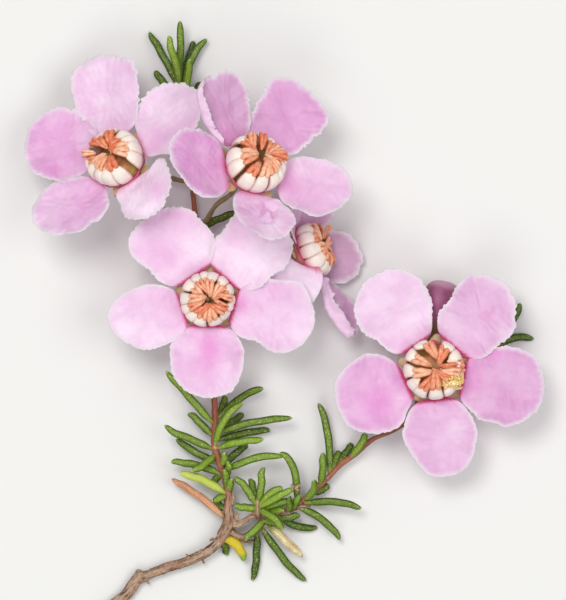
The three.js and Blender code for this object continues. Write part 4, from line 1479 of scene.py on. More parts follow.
@dataclass(frozen=True)
class FlowerFrame:
    """A flower's own frame: on the rim of its cup, with z up its axis. lean and heading are degrees."""

    centre: Place
    radius: float
    lean: float
    heading: float

    @property
    def rotation(self) -> Array:
        """The frame's directions, one column each."""
        heading = math.radians(self.heading)
        hinge = Vector((-math.sin(heading), math.cos(heading), 0))
        return np.array(Matrix.Rotation(math.radians(self.lean), 3, hinge))

    def place(self, own: Array) -> Array:
        """Places given in the flower's own frame, in the sprig's frame."""
        return own @ self.rotation.T + at(*self.centre)

    def point(self, azimuth: float, distance: float, height: float) -> Array:
        """A place at an azimuth in degrees, a distance from the axis and a height above the rim."""
        angle = math.radians(azimuth)
        return self.place(np.array([distance * math.cos(angle), distance * math.sin(angle), height]))

    def outward(self, azimuth: float) -> Array:
        """The direction away from the axis at an azimuth in degrees."""
        angle = math.radians(azimuth)
        return self.rotation @ np.array([math.cos(angle), math.sin(angle), 0.0])

    @property
    def matrix(self) -> Matrix:
        """The frame as a matrix in metres."""
        turned = Matrix(self.rotation.tolist()).to_4x4()
        return Matrix.Translation(Vector(at(*self.centre) * MM)) @ turned


class Side(Enum):
    """A petal's sides as seen from the cup, each as the sign of its distances."""

    LEFT = 1
    RIGHT = -1


@dataclass(frozen=True)
class Fold:
    """A margin that turns over: its side, how wide the strip is, how round the turn and how far it goes."""

    side: Side
    strip: float = 0.8
    round: float = 0.5
    turn: float = 140.0


@dataclass(frozen=True)
class Crease:
    """A crease or pucker, from one place of the layout grid to another."""

    start: Spot
    end: Spot
    depth: float = 0.2
    width: float = 0.14


@dataclass(frozen=True)
class Mark:
    """A mark on a petal: its spot on the layout grid, its reach in grid steps and its strength.

    As a flush it is deeper in colour, or paler below zero; flushes give the petal's own mottling together with
    painted light and shade, paler where light falls and deeper in shaded spots. As a notch it is a bay in the
    margin, or a lobe below zero, and its strength is in millimetres.
    """

    column: float
    row: float
    reach: float
    strength: float

    def on(self, seen: Array) -> Array:
        """The mark's strength at places as seen from above."""
        off = np.linalg.norm(seen - at(self.column, self.row)[:2], axis=1)
        return self.strength * bell(off * GRID_STEPS_PER_MM / self.reach)


PETAL_CLAW = 0.55
CURL_STEPS = 16
RIM_DROP = 0.12
MARGIN_SHARES = np.concatenate([np.linspace(0.05, 0.86, 15), [0.9, 0.93, 0.955, 0.975, 0.99, 1.0]])


@dataclass(frozen=True)
class Petal:
    """A petal, from its claw on the rim of the cup to its tip.

    left and right are its sides as seen from the cup: the greatest half width, and where along the
    petal that lies. spring is how far it runs straight out, and facing is the way its face looks.
    """

    azimuth: float
    tip: Place
    left: Spot
    right: Spot
    spring: float = 0.28
    arch: float = 0.3
    cup: float = 14.0
    bank: float = 0.0
    fold: Fold | None = None
    facing: Place | None = None
    pale: float = 0.5
    ripple: float = 0.07
    ragged: float = 1.0
    # painted shade: how far the petal is greyed because it lies in shade
    dim: float = 0.0
    flushes_and_painted_light: tuple[Mark, ...] = ()
    creases: tuple[Crease, ...] = ()
    notches: tuple[Mark, ...] = ()
    thickness: float = 0.15
    rays: int = 268

    def half_width(self, s: Array, side: Spot) -> Array:
        """The half width of one side.

        Args:
            s: Shares of the petal's length.
            side: The side's greatest half width, and where along the petal that lies.

        Returns:
            A half width for each share.
        """
        widest, place = side
        low = np.sin(0.5 * math.pi * np.clip(s / place, 0, 1)) ** 0.45
        high = np.sqrt(np.clip(1 - np.clip((s - place) / (1 - place), 0, 1) ** 2.2, 0, 1))
        return np.where(s < place, PETAL_CLAW + (widest - PETAL_CLAW) * low, widest * high)

    def half(self, s: Array, w: Array) -> Array:
        """The half width on the side of each w."""
        return np.where(w > 0, self.half_width(s, self.left), self.half_width(s, self.right))

    def face(self, frame: FlowerFrame) -> Array:
        """The direction that the petal's inner face looks."""
        return unit(np.array(self.facing)) if self.facing else frame.rotation @ UP

    def midline(self, frame: FlowerFrame) -> list[Array]:
        """The corners of the curve that the petal's middle follows.

        Args:
            frame: The flower's frame.

        Returns:
            Four places, from the foot to the tip.
        """
        foot = frame.point(self.azimuth, frame.radius - RIM_DROP, 0.0)
        tip, facing = at(*self.tip), self.face(frame)
        knee = foot + frame.outward(self.azimuth) * self.spring * np.linalg.norm(tip - foot)
        shoulder = foot + (tip - foot) * 0.62 + facing * self.arch
        return [foot, knee + facing * 0.1 * self.arch, shoulder, tip]

    def laid(self, frame: FlowerFrame, s: Array, w: Array) -> Array:
        """Where places of the flat petal lie in the sprig.

        Args:
            frame: The flower's frame.
            s: Shares of the petal's length.
            w: Distances from the midline, positive on the left.

        Returns:
            The places.
        """
        corners = self.midline(frame)
        tangent = unit(bezier(corners, s + 0.001) - bezier(corners, s - 0.001))
        left = unit(np.cross(self.face(frame), tangent))
        bank = np.radians(self.bank * np.minimum(1, 2 * s))[:, None]
        left = left * np.cos(bank) + np.cross(tangent, left) * np.sin(bank)
        normal = np.cross(tangent, left)
        sides = np.where(w > 0, 1, -1)
        half = self.half(s, w)
        curled_half = np.maximum(half, 0.35 * np.where(w > 0, self.left[0], self.right[0]))
        walked = np.abs(w)[:, None] * (np.arange(CURL_STEPS) + 0.5) / CURL_STEPS
        angle = self.cup * walked / curled_half[:, None]
        if self.fold:
            fade = np.clip(np.minimum(5 * s, 7 * (1 - s)), 0, 1) * (sides == self.fold.side.value)
            past = (walked - (half - self.fold.strip)[:, None]) / self.fold.round
            angle = angle + self.fold.turn * fade[:, None] * np.clip(past, 0, 1)
        step = (np.abs(w) / CURL_STEPS)[:, None]
        across = (np.cos(np.radians(angle)) * step).sum(1) * sides
        lift = (np.sin(np.radians(angle)) * step).sum(1)
        return bezier(corners, s) + left * across[:, None] + normal * lift[:, None]

    def outline(self, frame: FlowerFrame, length: float, seed: int) -> Array:
        """The petal's ragged margin.

        Args:
            frame: The flower's frame.
            length: The petal's length in millimetres.
            seed: Where its raggedness starts.

        Returns:
            Distances along and across the petal in millimetres.
        """
        s = np.concatenate([np.linspace(0, 0.9, 120), 1 - 0.1 * np.cos(np.linspace(0, math.pi / 2, 60))])
        s = np.unique(s)
        s[-1] = 1.0
        left = np.stack([s * length, self.half_width(s, self.left)], axis=1)
        right = np.stack([s * length, -self.half_width(s, self.right)], axis=1)
        loop = np.vstack([left, right[::-1][1:], left[:1]])
        closed = evenly(loop, self.rays + 1)[:-1]
        beside = np.roll(closed, -1, 0) - np.roll(closed, 1, 0)
        normal = unit(np.stack([beside[:, 1], -beside[:, 0]], axis=1))
        normal *= np.sign(np.sum(normal * (closed - closed.mean(0)), axis=1, keepdims=True))
        teeth = Waver(seed, 2, 1.8, 4.5)(closed)
        waves = Waver(seed + 500, 2, 0.12, 0.5)(closed)
        nicks = np.clip(Waver(seed + 900, 2, 0.5, 1.6)(closed) - 1.1, 0, 1)
        out = self.ragged * (0.03 * teeth - 0.1 * nicks) + 0.06 * waves
        out = out * smoothstep(closed[:, 0], 0.5, 2.0)
        seen = self.laid(frame, closed[:, 0] / length, closed[:, 1])[:, :2]
        out = out - sum(notch.on(seen) for notch in self.notches)
        return closed + normal * out[:, None]

    def relief(self, flat: Array, rim: Array, seen: Array, seed: int) -> Array:
        """How far the sheet's ripples, dents and creases lift it.

        Args:
            flat: Distances along and across the petal in millimetres.
            rim: Distances to the margin.
            seen: The same places of the sheet as seen from above.
            seed: Where its unevenness starts.

        Returns:
            A lift for each place.
        """
        lift = self.ripple * np.exp(-rim) * Waver(seed + 30, 2, 0.22, 0.8)(flat) * 1.3
        lift += 0.035 * Waver(seed + 60, 2, 0.25, 0.9)(flat) + 0.012 * Waver(seed + 80, 2, 1.2, 3.0)(flat)
        lift *= smoothstep(flat[:, 0], 0.1, 1.2)
        for crease in self.creases:
            start, end = at(*crease.start)[:2], at(*crease.end)[:2]
            line = end - start
            t = np.clip((seen - start) @ line / (line @ line), 0, 1)
            off = np.linalg.norm(seen - start - t[:, None] * line, axis=1) / crease.width
            lift -= crease.depth * bell(off) * np.sin(math.pi * np.clip(t, 0.06, 0.94)) ** 0.5
        return lift

    def add_to(self, surface: Surface, frame: FlowerFrame, seed: int, blush: float) -> None:
        """Adds the petal's blade to a surface.

        Args:
            surface: The surface that gathers the blade.
            frame: The flower's frame.
            seed: Where its unevenness starts.
            blush: How strongly its claw is coloured.
        """
        length = float(lengths(bezier(self.midline(frame), np.linspace(0, 1, 60)))[-1])
        margin = self.outline(frame, length, seed)
        middle = np.array([0.52 * length, 0.5 * (self.left[0] - self.right[0]) * 0.4])
        flat = middle + (margin - middle)[None] * MARGIN_SHARES[:, None, None]
        rim = np.min(np.linalg.norm(flat.reshape(-1, 1, 2) - margin[None], axis=2), axis=1)
        flat = np.vstack([flat.reshape(-1, 2), middle])
        rim = np.append(rim, np.linalg.norm(margin - middle, axis=1).min())
        s, w = flat[:, 0] / length, flat[:, 1]
        sheet = self.laid(frame, s, w)
        tiny = 0.004
        along = self.laid(frame, s + tiny / length, w) - self.laid(frame, s - tiny / length, w)
        across = self.laid(frame, s, w + tiny) - self.laid(frame, s, w - tiny)
        normal = unit(np.cross(along, across))
        seen = sheet[:, :2]
        sheet = sheet + normal * self.relief(flat, rim, seen, seed)[:, None]
        # flush marks: the petal's own mottling together with painted light and shade, paler where light falls
        # and deeper in shaded spots
        flush, pale = np.zeros(len(flat)), np.full(len(flat), self.pale)
        for glow in (patch.on(seen) for patch in self.flushes_and_painted_light):
            flush, pale = flush + np.maximum(glow, 0), pale + np.maximum(-glow, 0)
        body = 0.5 * self.thickness * (1 - np.exp(-rim / 0.1)) * (0.75 + 0.25 * np.exp(-flat[:, 0] / 0.8))
        top, under = sheet + normal * body[:, None], sheet - normal * body[:, None]
        rings, count = len(MARGIN_SHARES), self.rays * len(MARGIN_SHARES)
        inner = np.arange(count - self.rays).reshape(rings - 1, self.rays)[::-1].ravel()
        places = np.vstack([top[:count], under[inner], top[count:], under[count:]])
        source = np.concatenate([np.arange(count), inner, [count, count]])
        faces = capped(2 * rings - 1, self.rays)
        first, second, third = (places[faces[1][:, k]] for k in range(3))
        if np.cross(second - first, third - first).sum(0) @ normal[-1] < 0:
            faces = [block[:, ::-1] for block in faces]
        back = np.zeros(len(places))
        back[count:-2], back[-1] = 1, 1
        surface.add(
            places,
            faces,
            reach=flat[source, 0],
            across=(w / np.maximum(self.half(s, w), 0.5))[source],
            rim=rim[source],
            drift=float(seed) * 3.7,
            flush=flush[source],
            pale=pale[source],
            back=back,
            dim=self.dim,
            blush=blush,
        )


@dataclass(frozen=True)
class Stamen:
    """One stamen of a crown, standing at azimuth zero in its flower's frame.

    reach and inner are the shares of the radius between which its anther lies.
    """

    radius: float
    reach: float = 0.62
    inner: float = 0.2
    tall: float = 1.0
    width: float = 0.9
    sides: int = 14

    def build(self, name: str) -> Thing:
        """Builds the stamen: a clove-like filament, an anther of two pods and a gland on its tip.

        Args:
            name: The object's name.

        Returns:
            The object.
        """
        r, body = self.radius, Surface()
        spine = [(r - 0.3, 0.06), (r - 0.17, 0.45), (r - 0.15, 0.95), (r - 0.3, 1.45)]
        spine += [(0.68 * r, 1.74), (0.5 * r, 1.86)]
        path = evenly(through([np.array([x, 0, z]) for x, z in spine], 24), 26)
        s = np.linspace(0, 1, len(path))
        taper = (1 - 0.6 * smoothstep(s, 0.82, 0.98)) * (0.84 + 0.16 * smoothstep(s, 0, 0.35))
        wide = 0.5 * self.width * np.minimum(1, path[:, 0] / (r - 0.2)) * taper
        thick = 0.5 * np.interp(s, [0, 0.3, 0.6, 0.85, 1], [0.26, 0.36, 0.46, 0.42, 0.24])
        tip = 0.85 * smoothstep(s, 0.6, 1)
        self.add_oval(body, path, wide, thick, StamenPart.FILAMENT, along=s, tip=tip, swing=0.0 * s)
        outer, inner = self.reach * r, self.inner * r
        spine = [(outer, 1.78), (0.8 * outer, 2.04), (inner + 0.14 * r, 2.0), (inner, 1.8)]
        for side in (-1.0, 1.0):
            points = [np.array([x, 0.165 * side * min(1, 2.0 * x / r), z]) for x, z in spine]
            path = evenly(through(points, 16), 16)
            s = np.linspace(0, 1, len(path))
            full = np.interp(s, [0, 0.07, 0.2, 0.45, 0.75, 0.93, 1], [0.4, 0.85, 1.0, 1.0, 0.82, 0.6, 0.25])
            full *= 1 + 0.07 * np.sin(19 * s + side)
            looks = {"along": s, "tip": 0.85 + 0.15 * s, "swing": 1.3 * s - 0.3}
            self.add_oval(body, path, 0.172 * full, 0.2 * full, StamenPart.ANTHER, **looks)
        places, faces = lathe(np.array([[0, -1], [0.7, -0.7], [1, 0], [0.7, 0.7], [0, 1]]) * 0.07, 8)
        looks = {"along": 0.0, "tip": 1.0, "swing": 0.85, "edge": 0.0, "part": StamenPart.GLAND.value}
        body.add(places + (inner + 0.02 * r, 0, 1.9), faces, **looks)
        piece = body.piece(name)
        piece.data.transform(Matrix.Diagonal((1.0, 1.0, self.tall, 1.0)))
        return piece

    def add_oval(
        self, body: Surface, path: Array, wide: Array, thick: Array, part: StamenPart, **values: Array
    ) -> None:
        """Adds an oval tube whose width lies across the flower's radius.

        Args:
            body: The surface that gathers the tube.
            path: The tube's axis.
            wide: Its half width at each place.
            thick: Its half thickness at each place.
            part: The stamen's part.
            **values: What the part's finish and growth read at each place.
        """
        across = np.broadcast_to(np.array([0.0, 1.0, 0.0]), path.shape)
        normal = unit(np.cross(unit(np.gradient(path, axis=0)), across))
        east, north = circle(self.sides)
        rings = around(path, across, normal, wide[:, None] * east, thick[:, None] * north)
        spread = {name: by_ring(value, self.sides) for name, value in values.items()}
        body.add(*tube(rings), **spread, edge=by_side(np.abs(east), len(path)), part=part.value)


@dataclass(frozen=True)
class Heap:
    """Crumbs that lie together: their place, the heap's reach each way, their number, size and part."""

    place: Place
    reach: Place
    count: int
    grain: float
    part: StamenPart

    def add_to(self, surface: Surface, chance: np.random.Generator) -> None:
        """Adds the heap's crumbs to a surface.

        Args:
            surface: The surface that gathers them.
            chance: Where the random draws come from.
        """
        ball = np.array([[0, -1], [0.8, -0.6], [1, 0.1], [0.6, 0.8], [0, 1]])
        for _ in range(self.count):
            off = unit(chance.normal(size=3)) * chance.random() ** 0.5 * self.reach
            places, faces = lathe(ball * self.grain * chance.uniform(0.5, 1.2), 7)
            places = places * chance.uniform(0.8, 1.2, 3) + at(*self.place) + off
            surface.add(places, faces, along=chance.random(), edge=0.0, part=self.part.value, tone=0.3)


@dataclass(frozen=True)
class Flower:
    """An open flower: cup and stalk, crown of stamens and five petals.

    stamens are azimuths in degrees. spilled gives an azimuth and how far, in millimetres, that
    stamen's tip has moved outwards and aside, and bare the azimuths of stamens without an anther.
    """

    name: str
    frame: FlowerFrame
    twig: Twig
    stalk: tuple[Place, ...]
    stamens: tuple[float, ...]
    petals: tuple[Petal, ...]
    blush: float
    anther_reach: float = 0.62
    anther_inner: float = 0.2
    sway: float = 0.2
    spilled: tuple[tuple[float, float, float], ...] = ()
    bare: tuple[float, ...] = ()
    heaps: tuple[Heap, ...] = ()
    tall: float = 1.0
    depth: float = 2.4
    disc: float = -0.4
    stalk_radius: float = 0.18
    cup_sides: int = 60

    def build(self, kit: Kit) -> None:
        """Builds and dresses the flower.

        Args:
            kit: The finishes and growths.
        """
        self.build_cup(kit)
        self.build_stamens(kit)
        for k, petal in enumerate(self.petals, start=1):
            surface = Surface()
            petal.add_to(surface, self.frame, 10 * k + ord(self.name[-1]), self.blush)
            dressed(surface.piece(f"{self.name}_petal_{k}_blade", kit.petal), "petal", f"{self.name}_petal_{k}")

    def build_cup(self, kit: Kit) -> None:
        """Builds and dresses the cup with its disc, style, sepals and stalk.

        Args:
            kit: The finishes and growths.
        """
        surface = Surface()
        self.add_bowl(surface)
        self.add_style(surface)
        self.add_sepals(surface)
        top, end = self.frame.point(0, 0, 0.1 - self.depth), at(*self.stalk[-1])
        points = [top, *(at(*point) for point in self.stalk), self.twig.seat(end, end, -0.08)]
        path = evenly(through(points, STALK_STEPS), 40)
        swelling = 0.35 * np.exp(-np.linspace(0, 9, len(path))[::-1] ** 1.5)
        thick = self.stalk_radius * (1 + swelling + 0.08 * Waver(5, 1, 0.5, 2)(path[:, :1]))
        surface.add(*round_stalk(path, thick), part=CupPart.STALK.number, height=0.0)
        dressed(surface.piece(f"{self.name}_cup_body", kit.cup), "cup", f"{self.name}_cup")

    def add_bowl(self, surface: Surface) -> None:
        """Adds the ribbed bowl, its rim and the disc inside it.

        Args:
            surface: The surface that gathers the cup.
        """
        rim, depth, disc = self.frame.radius - RIM_DROP, self.depth, -self.disc
        wall = [(0.02, -depth - 0.1), (0.22, 0.02 - depth), (0.36, 0.3 - depth)]
        wall += [(0.62 * rim, -0.55 * depth), (0.88 * rim, -0.24 * depth), (rim, -0.06), (rim + 0.02, 0.06)]
        inside = [(rim - 0.1, 0.12), (rim - 0.3, -0.02), (rim - 0.6, -0.2), (0.45 * rim, disc)]
        inside += [(0.2, disc + 0.06), (0.02, disc + 0.1)]
        profile = through([np.array([x, 0, z]) for x, z in wall + inside], 5)[:, [0, 2]]
        profile[0, 0] = profile[-1, 0] = 0
        places, faces = lathe(profile, self.cup_sides)
        turn = np.arctan2(places[:, 1], places[:, 0])
        inner = by_ring(np.arange(len(profile) - 2), self.cup_sides) > int(0.6 * (len(profile) - 2))
        ribs = 1 + np.where(inner, 0.0, 0.035) * np.cos(10 * turn) * (places[:, 2] < -0.15)
        rough = Waver(7, 3, 0.8, 2.5)(places) * np.where(inner, 0.035, 0.015)
        places = places * np.stack([ribs, ribs, np.ones_like(ribs)], 1) * (1 + rough[:, None])
        out = np.linalg.norm(places[:, :2], axis=1)
        part = np.where(inner, CupPart.DISC.number, CupPart.OUTSIDE.number)
        part = np.where((places[:, 2] > -0.14) & (out > rim - 0.24), CupPart.RIM.number, part)
        height = np.where(inner, out / rim, smoothstep(places[:, 2], -depth, 0))
        surface.add(self.frame.place(places), faces, part=part, height=height)

    def add_style(self, surface: Surface) -> None:
        """Adds the style, a slim stalk with a small round head.

        Args:
            surface: The surface that gathers the cup.
        """
        stem = [(0, -0.4), (0.17, -0.4), (0.15, -0.1), (0.1, 0.2), (0.1, 0.9)]
        head = [(0.16, 1.05), (0.2, 1.15), (0.14, 1.24), (0, 1.26)]
        places, faces = lathe(np.array(stem + head), 14)
        surface.add(self.frame.place(places), faces, part=CupPart.STYLE.number, height=0.0)

    def add_sepals(self, surface: Surface) -> None:
        """Adds the sepals, short rounded lobes that stand between the petals.

        Args:
            surface: The surface that gathers the cup.
        """
        ball = np.array([[0, -1], [0.5, -0.86], [0.86, -0.5], [1, 0], [0.86, 0.5], [0.5, 0.86], [0, 1]])
        azimuths = [petal.azimuth for petal in self.petals]
        for k, azimuth in enumerate(azimuths):
            step = (azimuths[(k + 1) % len(azimuths)] - azimuth + 180) % 360 - 180
            places, faces = lathe(ball, 20)
            wave = Waver(k + 40, 3, 0.3, 1.2)(places)
            places = places * (1 + 0.1 * wave[:, None]) * (0.58, 0.4, 0.09)
            places[:, 2] += 0.18 * places[:, 0] ** 2
            places += (self.frame.radius - 0.1, 0, -0.42)
            turn = math.radians(azimuth + 0.5 * step)
            east, north = math.cos(turn), math.sin(turn)
            spin = np.array([[east, -north, 0], [north, east, 0], [0, 0, 1]])
            surface.add(self.frame.place(places @ spin.T), faces, part=CupPart.SEPAL.number, height=0.0)

    def stand(self) -> Thing:
        """Builds the points that the crown's growth stands stamens on.

        Returns:
            The object that becomes the crown.
        """
        turns, widest_gap = sorted(self.stamens), 33
        gaps = [(turns[(k + 1) % len(turns)] - turn) % 360 for k, turn in enumerate(turns)]
        room = [0.5 * (min(gap, widest_gap) + min(gaps[k - 1], widest_gap)) for k, gap in enumerate(gaps)]
        width = 1.05 * math.radians(self.frame.radius) / Stamen.width
        fallen = {turn: (out * MM, side * MM) for turn, out, side in self.spilled}
        spill, shift = zip(*(fallen.get(turn, (0.0, 0.0)) for turn in turns))
        mesh = bpy.data.meshes.new(f"{self.name}_stand")
        mesh.from_pydata([(0, 0, 0)] * len(turns), [], [])
        set_numbers(mesh, "turn", np.radians(turns))
        set_numbers(mesh, "wide", [min(1.25, width * gap) for gap in room])
        set_numbers(mesh, "spill", spill)
        set_numbers(mesh, "shift", shift)
        set_numbers(mesh, "bare", [float(turn in self.bare) for turn in turns])
        return linked(f"{self.name}_crown", mesh)

    def build_stamens(self, kit: Kit) -> None:
        """Builds and dresses the crown and what has fallen from it.

        Args:
            kit: The finishes and growths.
        """
        piece, seed = self.stand(), ord(self.name[-1])
        stamen = Stamen(self.frame.radius, self.anther_reach, self.anther_inner, self.tall)
        model = stamen.build(f"{self.name}_stamen_model")
        kit.crown.grow(piece, Stamen=model, Lean=0.035, Sway=self.sway * MM, Seed=seed, Finish=kit.stamen)
        spare = model.data
        bpy.data.objects.remove(model)
        bpy.data.meshes.remove(spare)
        piece.data.transform(self.frame.matrix)
        dressed(piece, "stamen", f"{self.name}_stamens")
        if self.heaps:
            crumbs = Surface()
            for heap in self.heaps:
                heap.add_to(crumbs, np.random.default_rng(seed))
            dressed(crumbs.piece(f"{self.name}_crumbs", kit.stamen), "stamen", f"{self.name}_stamens")


